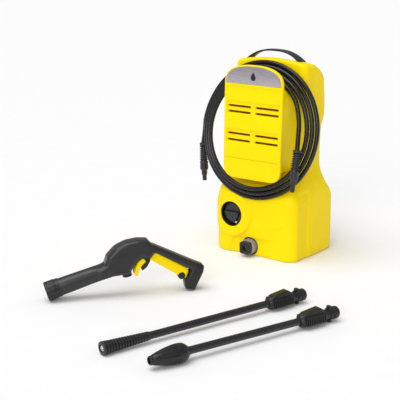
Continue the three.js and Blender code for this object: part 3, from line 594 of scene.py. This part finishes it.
def make_shell(name, front, relief):
    """One half of the housing: its wall from the foot up, its rounded edge and its top."""
    rows = []
    low = [1.5, 2.2, 3.2, 4.6, 6.5, 9.0]
    heights = [*low, *np.arange(11, 150, 1.8), *np.arange(150.5, WALL_TOP, 3)]
    for z in heights:
        x, y, nx, ny = half_plan(z, front)
        lift = relief(x, y, z, nx, ny) + seam_dip(y, z)
        rows.append(np.stack((x + nx * lift, y + ny * lift, np.full(len(x), z)), axis=1))

    x, y, nx, ny = half_plan(WALL_TOP, front)
    turned_back = np.clip(ny if not front else -ny, 0, 1)
    face_rounding = FRONT_ROUNDING if front else REAR_ROUNDING
    rounding = SIDE_ROUNDING + turned_back * (face_rounding - SIDE_ROUNDING)
    edge_z = crown(x - nx * rounding, y - ny * rounding)
    for t in np.linspace(0, 1, 15):
        z = WALL_TOP + (edge_z - rounding - WALL_TOP) * t
        px, py, pnx, pny = plan_columns(z, front)
        lift = relief(px, py, z, pnx, pny) + seam_dip(py, z)
        rows.append(np.stack((px + pnx * lift, py + pny * lift, z), axis=1))
    for angle in np.linspace(0, math.pi / 2, 9)[1:]:
        inset = rounding * (1 - math.cos(angle))
        rx, ry = px - nx * inset, py - ny * inset
        rise = crown(rx, ry) - rounding * (1 - math.sin(angle))
        dip = seam_dip(ry, rise)
        rows.append(np.stack((rx + nx * dip * math.cos(angle), ry + ny * dip * math.cos(angle),
                              rise + dip * math.sin(angle)), axis=1))
    seam_y = float(SEAM(TOP_HEIGHT))
    reach = np.linspace(1, -1, len(rx)) * (np.max(rx) - 0.5)
    shares = [*np.linspace(0, 0.94, 16)[1:], 0.97, 0.985, 1.0]
    for t in shares:
        tx = rx + (reach - rx) * t
        ty = ry + (seam_y - ry) * t
        rows.append(np.stack((tx, ty, crown(tx, ty) + seam_dip(ty, TOP_HEIGHT)), axis=1))

    points = np.stack(rows)
    count_rows, count_columns = points.shape[:2]
    obj = make_object(name, points.reshape(-1, 3), grid_faces(count_rows, count_columns))
    middle = obj.data.polygons[len(obj.data.polygons) // 3]
    outward = middle.normal.y * (-1 if front else 1)
    if outward < 0:
        obj.data.flip_normals()
    thick = obj.modifiers.new("wall", "SOLIDIFY")
    thick.thickness = WALL_THICKNESS * MM
    thick.offset = -1
    return apply_modifiers(obj)


def plan_columns(heights, front):
    """The plan's columns where every column has a height of its own."""
    plans = [half_plan(z, front) for z in heights]
    return tuple(np.array([plan[k][i] for i, plan in enumerate(plans)]) for k in range(4))


def make_housing():
    shell = make_shell("front_housing", True, front_relief)
    knob_hole = turned("knob_hole", [(0, 0), (KNOB_HOLE, 0), (KNOB_HOLE, 60), (0, 60)],
                       (KNOB[0], -120, KNOB[1]), (0, 1, 0), 72)
    outlet_hole = turned("outlet_hole",
                         [(0, 0), (OUTLET_HOLE, 0), (OUTLET_HOLE, 60), (0, 60)],
                         (OUTLET[0], -120, OUTLET[1]), (0, 1, 0), 64)
    cut(shell, knob_hole, outlet_hole)
    finish_piece(shell, "yellow", "root", ["front_shell"], SHELL_SHARP)

    back = make_shell("rear_housing", False, rear_relief)
    finish_piece(back, "yellow", "root", ["rear_shell"], SHELL_SHARP)


# ---------------------------------------------------------------- hanger and badge
HANGER_HALF = 73.0
HANGER_BOTTOM = 172.0
HANGER_TOP = 417.0
HANGER_SHOULDER = 376.0
HANGER_FRONT = -100.0
HANGER_LEAN = math.radians(1.4)
SLOT_LEVELS = (254.5, 268.5, 315.5, 327.9)
BADGE_BOTTOM = 376.0
BADGE_LAP = 3.4                  # the badge's foot is this much lower at no inset
NECK_HALF, NECK_CORNER = 70.0, 44.0
NECK_BOTTOM, NECK_SHOULDER, NECK_TOP = 181.0, 338.0, 381.0
NECK_FRONT, NECK_BACK = -96.5, -33.0
HANGER_SHARP = math.radians(30)


def arch(half, top, shoulder, count=56):
    """Points over a flat arch with full corners, from its right end to its left."""
    fullness = 2.5
    points = []
    for angle in np.linspace(0, math.pi, count):
        across, up = math.cos(angle), math.sin(angle)
        points.append((half * np.sign(across) * abs(across) ** (2 / fullness),
                       shoulder + (top - shoulder) * abs(up) ** (2 / fullness)))
    return points


def hanger_outline(inset):
    half = HANGER_HALF - inset
    low = HANGER_BOTTOM + inset
    corners = rounded_outline(
        [(-half, 300), (-half, low, 30), (half, low, 30), (half, 300)], 12)
    return corners[1:-1] + arch(half, HANGER_TOP - inset, HANGER_SHOULDER)


def badge_outline(inset):
    return arch(HANGER_HALF - inset, HANGER_TOP - inset, BADGE_BOTTOM + inset - BADGE_LAP)


def lean_place():
    """The hanger's front plane, leaning back about its lower edge."""
    foot = Matrix.Translation((0, HANGER_FRONT - 3, HANGER_BOTTOM))
    return foot @ Matrix.Rotation(-HANGER_LEAN, 4, "X") @ Matrix.Translation(
        (0, -HANGER_FRONT, -HANGER_BOTTOM))


def make_hanger():
    place = lean_place()
    face = HANGER_FRONT
    plate = slab("hanger_plate", hanger_outline(0), "xz", face, face + 8.5, 2.6, place, 5)
    cutters = []
    for low, high in ((244.5, 278.5), (305.5, 338.5)):
        band = [(face - 3, high + 0.4), (face + 0.4, high + 0.1), (face + 2.2, high - 1.4),
                (face + 2.2, low + 9), (face - 0.4, low - 3), (face - 3, low - 3)]
        cutters.append(slab("band", band, "yz", -66, 66, 0, place))
    groove = [(face - 3, 215.0), (face + 1.8, 215.4), (face + 1.8, 216.6), (face - 3, 217.0)]
    cutters.append(slab("groove", groove, "yz", -66, 66, 0, place))
    step = [(face - 3, 371.6), (face + 1.5, 370.6), (face + 1.5, 366), (face - 0.3, 350),
            (face - 3, 350)]
    cutters.append(slab("step", step, "yz", -66.5, 66.5, 0, place))
    for level in SLOT_LEVELS:
        for side in (-1, 1):
            ends = sorted((side * 5.6, side * 64))
            shape = rounded_outline([(ends[0], level - 2.5, 2.3), (ends[1], level - 2.5, 2.3),
                                     (ends[1], level + 2.5, 2.3), (ends[0], level + 2.5, 2.3)], 5)
            cutters.append(slab("slot", shape, "xz", face - 10, face + 20, 0, place))
    cutters.append(slab("badge_seat", badge_outline(3.1), "xz", face - 5, face + 1.6, 0, place))
    cutters.append(turned("dimple", [(0, 0), (2.6, 0), (1.6, 7.2), (0, 7.2)],
                          (3, face - 9.2, 194), (0, 1, 0), 24))
    cut(plate, *cutters)
    finish_piece(plate, "yellow", "root", ["hanger_cover"], HANGER_SHARP)

    low = rounded_outline([(-NECK_HALF, 300), (-NECK_HALF, NECK_BOTTOM, NECK_CORNER),
                           (NECK_HALF, NECK_BOTTOM, NECK_CORNER), (NECK_HALF, 300)], 14)
    outer = low[1:-1] + arch(NECK_HALF, NECK_TOP, NECK_SHOULDER, 40)
    inner = [(x * 0.955, 281 + (z - 281) * 0.97) for x, z in outer]
    neck = slab("hanger_neck", outer, "xz", NECK_FRONT, NECK_BACK, 0)
    cut(neck, slab("neck_hollow", inner, "xz", -110, -20, 0))
    finish_piece(neck, "yellow", "root", (), HANGER_SHARP)

    # A dark sheet behind the slots, in the painted-shade colour, stands in for the shade inside the
    # hollow neck: painted shade.
    shade_card = slab("slot_shade_backing", rounded_outline(
        [(-64, 240, 3), (64, 240, 3), (64, 342, 3), (-64, 342, 3)]), "xz", face + 14, face + 17)
    obj = finish_piece(shade_card, "slot_shade_paint", "root")

    badge = slab("badge_face", badge_outline(3.5), "xz", face - 0.5, face + 1.3, 0.5, place, 3)
    drop = [(math.sin(a) * 6.2, -math.cos(a) * 6.2) for a in np.linspace(-2.3, 2.3, 28)]
    drop_outline = [(x, z + 390.5) for x, z in drop] + [(0, 402.5)]
    mark = slab("badge_mark", drop_outline, "xz", face - 1.0, face + 0.4, 0.2, place, 2)
    finish_piece(badge, "badge", "root", ["badge_plate"])
    finish_piece(mark, "black", "root")


# ---------------------------------------------------------------- carrying strap
STRAP_HALF = 80.5
STRAP_FOOT, STRAP_TOP = 403.5, 441.2
STRAP_MIDDLE = -12.0
STRAP_FLATNESS = 2.7
STRAP_STEPS, STRAP_SIDES = 61, 24


def make_strap():
    """A thin flat strap over the top, widest at its feet."""
    rows = []
    height = STRAP_TOP - STRAP_FOOT
    for share in np.linspace(-1, 1, STRAP_STEPS):
        rise = 1 - abs(share) ** STRAP_FLATNESS
        x = STRAP_HALF * share
        z = STRAP_FOOT + height * rise
        steepness = height * STRAP_FLATNESS * abs(share) ** (STRAP_FLATNESS - 1)
        slope = -steepness * np.sign(share) / STRAP_HALF
        normal = Vector((-slope, 0, 1)).normalized()
        width = 9.8 + 4.2 * abs(share) ** 2
        thick = 1.9 + 2.6 * abs(share) ** 5
        for k in range(STRAP_SIDES):
            angle = 2 * math.pi * k / STRAP_SIDES
            ca, sa = math.cos(angle), math.sin(angle)
            across = width * np.sign(ca) * abs(ca) ** 0.35
            up = thick * np.sign(sa) * abs(sa) ** 0.6
            rows.append((x + normal.x * up, STRAP_MIDDLE + across, z + normal.z * up))
    faces = grid_faces(STRAP_STEPS, STRAP_SIDES, wrap=True)
    faces += [tuple(range(STRAP_SIDES)), tuple(range(len(rows) - STRAP_SIDES, len(rows)))]
    strap = tidy_mesh(make_object("carry_strap", rows, faces))
    return finish_piece(strap, "black", "root", ["carry_handle"])


# ---------------------------------------------------------------- switch and outlet
def make_switch():
    x, z = KNOB
    cup = turned("switch_cup", round_profile(
        [(0, 0), (27.8, 0), (27.8, 15.6, 0.6), (26.4, 16.2, 0.5), (25.4, 4, 0.8), (0, 4)], 3),
        (x, -76, z), (0, -1, 0), 72)
    finish_piece(cup, "black", "root", ["switch_bezel"])

    disc = turned("knob_face", round_profile(
        [(0, 0), (23.4, 0), (23.4, 5.6, 1.2), (19, 6.4, 1.0), (0, 6.4)], 3),
        (x, -80.3, z), (0, -1, 0), 72)
    grip_corners = [
        (-19.5, -93.6, 4), (19.5, -93.6, 4), (21, -84, 4.6), (-21, -84, 4.6),
        (-9, -90, -17), (9, -90, -17), (11, -84, -19), (-11, -84, -19),
    ]
    faces = [(0, 1, 5, 4), (3, 7, 6, 2), (0, 3, 2, 1), (4, 5, 6, 7), (0, 4, 7, 3), (1, 2, 6, 5)]
    grip = tidy_mesh(make_object("grip", [(x + a, b, z + c) for a, b, c in grip_corners], faces))
    bevel(grip, 1.4, 4)
    join(disc, grip)
    finish_piece(disc, "dark_grey", "switch", ["switch_knob"])
    # A small pale dot, low on the knob's right side.
    mark = turned("knob_pale_dot", round_profile([(0, 0), (2.6, 0), (2.6, 0.8, 0.3), (0, 0.8)], 2),
                  (x + 8.5, -86.3, z - 19.0), (0, -1, 0), 24)
    finish_piece(mark, "pale_dot", "switch")


def rounded_square(x, z, half, radius, steps):
    return rounded_outline([(x - half, z - half, radius), (x + half, z - half, radius),
                            (x + half, z + half, radius), (x - half, z + half, radius)], steps)


def make_outlet():
    x, z = OUTLET
    radius, back, face_front = 17.5, -76.3, -111.0
    collar = turned("outlet_ring", round_profile(
        [(0, 0), (radius, 0), (radius, 24, 0.8), (radius - 2, 25, 0.5), (0, 25)], 3),
        (x, back, z), (0, -1, 0), 96)
    grooves = None
    for angle in np.linspace(0, 2 * math.pi, 41)[:-1]:
        tool = turned("groove", [(0, 0), (0.6, 0), (0.6, 16), (0, 16)],
                      (x + (radius + 0.1) * math.cos(angle), back - 8,
                       z + (radius + 0.1) * math.sin(angle)), (0, -1, 0), 6)
        grooves = merge_plain(grooves, tool) if grooves else tool
    cut(collar, grooves)
    square = rounded_square(x, z, 13.3, 6, 6)
    face = slab("outlet_face", square, "xz", face_front, face_front + 15, 1.6)
    seat = rounded_square(x, z, 6.4, 1.5, 4)
    cut(face, slab("seat", seat, "xz", face_front - 5, face_front + 1.4),
        block("bore", (x - 4, face_front - 5, z - 4), (x + 4, face_front + 13.5, z + 4)))
    finish_piece(collar, "light_grey", "root", ["outlet_collar"])
    finish_piece(face, "black", "root", ["outlet_socket"])


def merge_plain(first, second):
    """Puts one object's mesh into another's, without any boolean."""
    work = bmesh.new()
    work.from_mesh(first.data)
    work.from_mesh(second.data)
    work.to_mesh(first.data)
    work.free()
    bpy.data.objects.remove(second)
    return first


# ---------------------------------------------------------------- trigger gun
GUN = Matrix.Translation((-160.4, -567.6, -2)) @ Matrix.Rotation(math.radians(50.65), 4, "Z")
BARREL_SLOPE = math.radians(16.5)
MUZZLE = (2.5, 20.2)
MUZZLE_LENGTH = 25.0
TRIGGER_PIVOT = (207.0, 91.0)
CAP_RADIUS = 98.4                # from the pivot to where the handle's end cap begins
SHELL_GAP = 0.3
SPLIT_HALF = 0.04                # half the gap between the gun's two shells
HUMP_HALF, HANDLE_HALF = 18, 14
LEVER_HALF, LEVER_ROOM = 9, 9.6
RELEASE_HALF, RELEASE_ROOM, RELEASE_GRIP = 12.6, 13.2, 12.2
MUZZLE_FLUTES = 14

HANDLE_OUTLINE = [
    (190, 70), (206, 75, 5), (214, 86, 7), (287, 45, 2), (280, 30), (274, 20, 4), (276, 6.5, 4),
    (294, 2.3, 5), (312, 39, 8), (314, 52, 6), (288, 64), (242, 87, 30), (214, 101, 6), (190, 110),
]
HUMP_OUTLINE = [
    (98, 35), (132, 44, 20), (165, 47, 4), (170, 57, 8), (178, 70, 12), (189, 78, 6), (206, 75, 6),
    (216, 89, 6), (211, 101, 6), (201, 112.5, 6), (181, 114, 25), (158, 110.5, 30),
    (138, 101.5, 30), (121, 84, 10), (116, 69, 6), (98, 60),
]
TRIGGER_OUTLINE = [
    (205, 72, 5), (242, 48, 60), (276, 25.5, 6), (283, 43, 5), (277, 51, 6), (219, 86, 6),
    (213, 91), (201, 90), (202, 80, 3),
]


def barrel_point(distance):
    """A point on the barrel's axis, measured from the muzzle's mouth."""
    return (MUZZLE[0] + distance * math.cos(BARREL_SLOPE), 0,
            MUZZLE[1] + distance * math.sin(BARREL_SLOPE))


AXIS = (math.cos(BARREL_SLOPE), 0, math.sin(BARREL_SLOPE))


def gun_turned(name, points, start, direction, sides=48):
    """A turned solid placed in the gun's own frame."""
    return turned(name, points, GUN @ Vector(start), GUN.to_3x3() @ Vector(direction), sides)


def gun_slab(name, outline, half, edge=0.0, steps=4, corner_steps=6):
    return slab(name, rounded_outline(outline, corner_steps), "xz", -half, half, edge, GUN, steps)


def copy_of(obj):
    twin = obj.copy()
    twin.data = obj.data.copy()
    bpy.context.scene.collection.objects.link(twin)
    return twin


def pivot_disc(name, radius, half=40.0, sides=96):
    """A disc round the trigger's pivot, across the gun."""
    start = (TRIGGER_PIVOT[0], -half, TRIGGER_PIVOT[1])
    return gun_turned(name, [(0, 0), (radius, 0), (radius, 2 * half), (0, 2 * half)], start,
                      (0, 1, 0), sides)


def make_release_grip():
    """The ribbed block behind the release clip."""
    grip = gun_slab("release_grip", [
        (187, 50, 3), (198, 58, 4), (205, 70, 3), (204, 84, 3), (197, 86, 3), (193, 76, 3),
        (190, 62, 6)], RELEASE_GRIP, 1.2, 3)
    ribs = [gun_slab("rib", [(186, low), (210, low + 9), (210, low + 10.6), (186, low + 1.6)], 16)
            for low in (48, 53, 58, 63, 68)]
    core = gun_slab("core", [(180, 40), (215, 40), (215, 95), (180, 95)], 11.2)
    for rib in ribs:
        cut(rib, copy_of(core))
    bpy.data.objects.remove(core, do_unlink=True)
    split = gun_slab("split", [(150, 20), (250, 20), (250, 120), (150, 120)], SPLIT_HALF)
    return cut(grip, *ribs, split)


def make_gun():
    barrel = gun_turned("gun_body", round_profile(
        [(0, 0), (17.3, 0, 0.6), (17.0, 20), (16.3, 60), (15.6, 100), (14.5, 124, 4), (0, 132)]),
        barrel_point(MUZZLE_LENGTH + SHELL_GAP), AXIS, 64)
    hump = gun_slab("hump", HUMP_OUTLINE, HUMP_HALF, 8.5, 7)
    handle = gun_slab("handle", HANDLE_OUTLINE, HANDLE_HALF, 6.0, 6)
    cap = gun_slab("handle_end", HANDLE_OUTLINE, HANDLE_HALF, 6.0, 6)
    boolean(handle, pivot_disc("inside", CAP_RADIUS - SHELL_GAP), "INTERSECT")
    cut(cap, pivot_disc("outside", CAP_RADIUS))
    finish_piece(cap, "black", "gun", ["handle_cap"])
    join(barrel, hump, handle)

    channel = [(200, 66), (214, 60), (284, 20), (292, 40), (293, 56), (285.5, 60.5), (215.5, 94.8),
               (203, 86), (199, 78)]
    slot = [(168, 30), (206, 60), (200, 82, 3), (188, 84, 3), (175, 73), (168, 56)]
    tools = [
        gun_slab("channel", channel, LEVER_ROOM),
        pivot_disc("boss_room", 8.6, LEVER_ROOM, 32),
        gun_slab("release_slot", slot, RELEASE_ROOM),
        gun_turned("hose_seat", [(0, 0), (9.8, 0), (9.8, 40), (0, 40)], (157, 0, 62),
                   (0.2, 0, -1), 40),
        gun_slab("split", [(-50, -40), (400, -40), (400, 200), (-50, 200)], SPLIT_HALF),
    ]
    cut(barrel, *tools)
    join(barrel, make_release_grip())
    left = copy_of(barrel)
    left.name = "gun_half_left"
    keep_side(barrel, -1)
    keep_side(left, 1)
    barrel.name = "gun_half_right"
    finish_piece(barrel, "dark_grey", "gun", ["gun_shell_right"])
    finish_piece(left, "dark_grey", "gun", ["gun_shell_left"])

    lever = gun_slab("trigger_lever", TRIGGER_OUTLINE, LEVER_HALF, 3.2, 5)
    join(lever, pivot_disc("boss", 7, 8.9, 32))
    cut(lever, gun_turned("lock_room", [(0, 0), (7.5, 0), (7.5, 40), (0, 40)], (268, -20, 34),
                          (0, 1, 0), 40), pivot_disc("pin_room", 2.8, 20, 24))
    finish_piece(lever, "yellow", "trigger", ["gun_trigger"])

    lock = gun_turned("lock_button", round_profile(
        [(0, 0), (7, 0, 0.8), (7, 19, 0.8), (0, 19)], 3), (268, -9.5, 34), (0, 1, 0), 40)
    flat = gun_slab("lock_flat", [(256, 40), (266, 20), (282, 30), (272, 50)], 20)
    boolean(lock, flat, "INTERSECT")
    finish_piece(lock, "black", "lock", ["trigger_lock"])

    release = gun_slab("release_clip", [
        (174.6, 42, 2), (180, 42, 2), (183.5, 53, 12), (188, 62, 12), (196.5, 70, 2),
        (191.5, 77, 3), (182, 71, 14), (175.6, 58, 14), (173.6, 47, 3)],
        RELEASE_HALF, 1.2, 3)
    finish_piece(release, "yellow", "release", ["hose_release"])

    make_muzzle()


def keep_side(obj, side):
    """Keeps only the half of the gun's shell on one side of its middle plane."""
    work = bmesh.new()
    work.from_mesh(obj.data)
    middle = (GUN @ Vector((0, 0, 0))) * MM
    normal = GUN.to_3x3() @ Vector((0, 1, 0))
    gone = [f for f in work.faces if (f.calc_center_median() - middle).dot(normal) * side < 0]
    bmesh.ops.delete(work, geom=gone, context="FACES")
    work.to_mesh(obj.data)
    work.free()


def make_muzzle():
    collar = gun_turned("muzzle_collar", round_profile(
        [(12.4, 0), (17.4, 0, 1.0), (19.2, 1.6, 0.8), (19.2, 20, 0.8), (18.4, 21), (18.4, 28, 0.4),
         (17.7, 28), (17.7, 25), (0, 25), (0, 20), (12.4, 20), (12.4, 0)], 3),
        barrel_point(0), AXIS, 96)
    place = turn_to(GUN @ Vector(barrel_point(0)), GUN.to_3x3() @ Vector(AXIS))
    tools = []
    for i in range(MUZZLE_FLUTES):
        angle = 2 * math.pi * i / MUZZLE_FLUTES
        start = place @ Vector((20.4 * math.cos(angle), 4, 20.4 * math.sin(angle)))
        tools.append(turned("flute", [(0, 0), (1.9, 0), (1.9, 14), (0, 14)], start,
                            place.to_3x3() @ Vector((0, 1, 0)), 12))
    tools.append(block("keyway", (-3.6, -1, -16), (3.6, 16, 16), place))
    cut(collar, *tools)
    finish_piece(collar, "black", "gun", ["gun_muzzle"])


# ---------------------------------------------------------------- lances
FAN_LANCE = (Vector((105.1, -702.1, 12.5)), Vector((240.6, -274, 15.8)))
ROTARY_LANCE = (Vector((209.5, -703.1, 17.2)), Vector((338.5, -320.3, 15.7)))
TUBE_RADIUS = 6.8
COUPLING_LENGTH = 90.0


def make_coupling(name, node, ends, body):
    """The grip, bayonet lugs and round end that plug a lance into the gun."""
    tip, end = ends
    start = (end - tip).length - COUPLING_LENGTH
    place = turn_to(tip, end - tip) @ Matrix.Translation((0, start, 0))

    def along(label, points, sides=56):
        return turned(label, points, place @ Vector((0, 0, 0)), end - tip, sides)

    core = along(name, round_profile(
        [(0, 0), (8.6, 0, 0.8), (12.4, 5, 2), (12.8, 9), (12.8, 52, 2), (10.2, 56, 1), (9.6, 58),
         (9.6, 68, 0.3), (11.8, 68.8, 0.4), (11.8, 74, 0.4), (9.8, 75, 0.3), (9.8, 77, 0.3),
         (11.8, 78, 0.5), (11.8, 87.6, 1.5), (9.4, 90, 0.6), (0, 90)], 3))
    wedge = slab("wedge", rounded_outline(
        [(1, 2), (60, 2), (54, 12.5, 2), (45, 18.6, 2), (12, 14.5, 10), (0.5, 8, 3)], 5), "yz",
        -8.6, 8.6, 2.2, place, 3)
    lug_top = block("lug", (-4.6, 67.6, 8), (4.6, 74.6, 15.6), place)
    lug_low = block("lug", (-4.6, 67.6, -15.2), (4.6, 74.6, -8), place)
    bevel(lug_top, 1.2)
    bevel(lug_low, 1.2)
    join(core, wedge, lug_top, lug_low)
    panel = block("panel", (-14.8, 7.5, -8), (14.8, 53.5, 8), place)
    bevel(panel, 0.8, 2)
    join(core, panel)
    tools = []
    for i in range(9):
        low = 9.2 + i * 4.9
        for side in (-1, 1):
            across = sorted((side * 10.6, side * 16))
            tools.append(block("rib", (across[0], low, -6.6), (across[1], low + 2.6, 6.6), place))
        tools.append(block("rib", (-6, low, -16), (6, low + 2.6, -10.6), place))
    cut(core, *tools)
    finish_piece(core, "black", body, [node])


def make_lances():
    make_coupling("fan_coupling", "fan_lance_coupling", FAN_LANCE, "fan_lance")
    make_coupling("rotary_coupling", "rotary_lance_coupling", ROTARY_LANCE, "rotary_lance")
    for name, node, ends, body, first in (
        ("fan_tube", "fan_lance_tube", FAN_LANCE, "fan_lance", 14),
        ("rotary_tube", "rotary_lance_tube", ROTARY_LANCE, "rotary_lance", 63),
    ):
        tip, end = ends
        last = (end - tip).length - COUPLING_LENGTH + 4
        ring = [(4.4, first), (TUBE_RADIUS, first), (TUBE_RADIUS, last), (4.4, last)]
        tube = turned(name, ring, tip, end - tip, 56, closed=True)
        finish_piece(tube, "tube", body, [node])

    tip, end = FAN_LANCE
    points = [(6.8, 0.4), (6.8, 0), (10.8, 0, 0.6), (12.0, 0.8, 0.4)]
    rings = 16
    for i in range(rings):
        foot = 1.2 + i * 5.75
        radius = 12.2 - 3.9 * (i / (rings - 1)) ** 0.9
        points += [(radius, foot, 0.6), (radius, foot + 3.0, 0.6),
                   (max(7.2, radius - 2.8), foot + 3.4, 0.2),
                   (max(7.2, radius - 2.8), foot + 5.45, 0.2)]
    points += [(8.1, 93.4, 0.4), (7.8, 94.8, 0.4), (6.8, 95), (6.8, 94)]
    sleeve = turned("fan_sleeve_grip", round_profile(points, 2), tip, end - tip, 56, closed=True)
    finish_piece(sleeve, "dark_grey", "fan_sleeve", ["fan_nozzle_sleeve"])
    nozzle = turned("fan_tip", round_profile(
        [(1.2, 12.5), (1.2, 3), (3.2, 0.8, 0.2), (4.9, 0.4, 0.4), (6.2, 3, 0.4), (6.2, 12.5),
         (1.2, 12.5)], 2), tip + (end - tip).normalized() * 0.8, end - tip, 40)
    finish_piece(nozzle, "steel", "fan_lance", ["fan_nozzle_tip"])

    tip, end = ROTARY_LANCE
    points = [(5.8, 6), (5.6, 0), (6.9, 0, 0.4), (7.8, 0.9, 0.4), (8.1, 4.6, 0.4), (7.8, 5.2, 0.2),
              (9.0, 7), (12.0, 18, 5), (14.9, 32, 5), (17.0, 48, 5), (17.2, 58, 4),
              (16.6, 65, 3), (11.8, 72, 2), (9.4, 73.6, 0.4), (9.2, 75.6, 0.4), (6.8, 76),
              (6.8, 65), (13, 58), (11.4, 32)]
    head = turned("rotary_head", round_profile(points, 4), tip, end - tip, 96, closed=True)
    place = turn_to(tip, end - tip)
    tools = []
    for i in range(9):
        angle = 2 * math.pi * (i + 0.5) / 9
        mouth = place @ Vector((13.4 * math.cos(angle), 14, 13.4 * math.sin(angle)))
        far = place @ Vector((19.6 * math.cos(angle), 58, 19.6 * math.sin(angle)))
        tools.append(turned("flute", [(0, 0), (2.0, 0), (4.0, 38), (0, 42)], mouth,
                            far - mouth, 20))
    cut(head, *tools)
    finish_piece(head, "black", "rotary_lance", ["rotary_nozzle_housing"])


# ---------------------------------------------------------------- pump springs
PUMP = (15.25, 13)
PISTON_RING = 17.0
SPRING_FOOT = 82.4
SPRING_HEIGHT = 12.0
SPRING_RADIUS = 7.6
WIRE_RADIUS = 0.8
SPRING_TURNS = 4


def make_springs():
    """The coil springs round the pistons, made at one fixed height; the real ones shorten as the
    pistons go down.
    """
    sides, steps = 8, 97
    for i in range(3):
        angle = 2 * math.pi * i / 3 + math.pi / 2
        x = PUMP[0] + PISTON_RING * math.cos(angle)
        y = PUMP[1] + PISTON_RING * math.sin(angle)
        verts = []
        for share in np.linspace(0, 1, steps):
            turn = 2 * math.pi * SPRING_TURNS * share
            height = WIRE_RADIUS + (SPRING_HEIGHT - 2 * WIRE_RADIUS) * share
            for corner in np.arange(sides) * 2 * math.pi / sides:
                reach = SPRING_RADIUS + WIRE_RADIUS * math.cos(corner)
                verts.append((x + reach * math.cos(turn), y + reach * math.sin(turn),
                              SPRING_FOOT + height + WIRE_RADIUS * math.sin(corner)))
        faces = [*grid_faces(steps, sides, wrap=True), tuple(range(sides))[::-1],
                 tuple(range(len(verts) - sides, len(verts)))]
        number = i + 1
        spring = make_object(f"spring_{number}", verts, faces)
        finish_piece(spring, "steel", "root", [f"piston_spring_{number}"])
        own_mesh(spring)


# ---------------------------------------------------------------- stage and light
def make_stage():
    bpy.ops.mesh.primitive_plane_add(size=40, location=(0, 0, -0.0004))
    floor = bpy.context.object
    floor.name = "floor"
    pale = surface("floor_pale", (0.93, 0.93, 0.94), 0.8, mottle=0.006, bump=0.0, grain=40.0)
    floor.data.materials.append(pale)

    world = bpy.data.worlds.new("studio")
    bpy.context.scene.world = world
    world.use_nodes = True
    background = world.node_tree.nodes["Background"]
    background.inputs["Color"].default_value = (1, 1, 1, 1)
    background.inputs["Strength"].default_value = 0.42

    for name, source, spread, power in (
        ("overhead", (-0.12, -0.3, 1.0), 50, 1.75),
        ("front", (0.35, -0.9, 0.42), 35, 1.05),
    ):
        data = bpy.data.lights.new(name, "SUN")
        data.angle = math.radians(spread)
        data.energy = power
        light = bpy.data.objects.new(name, data)
        light.location = source
        light.rotation_euler = Vector(source).to_track_quat("Z", "Y").to_euler()
        bpy.context.scene.collection.objects.link(light)
    bpy.context.scene.view_settings.view_transform = "Standard"


def finish_cad_nodes():
    """Gives every CAD node that still shows the procedural material of its slot."""
    slots = {part["node"]: part["material_slot"] for part in frame["record"]["subparts"]}
    for node, obj in frame["nodes"].items():
        obj.data.materials.clear()
        obj.data.materials.append(MATERIALS[slots[node]])


MATERIALS = make_materials()
make_camera()
hose_piece, hose_length = make_hose()
connector_left = make_connector("connector_left", "hose_connector_left", LEFT_CONNECTOR)
connector_right = make_connector("connector_right", "hose_connector_right", RIGHT_CONNECTOR)
make_housing()
make_hanger()
make_strap()
make_switch()
make_outlet()
make_gun()
make_lances()
make_springs()
finish_cad_nodes()
make_stage()
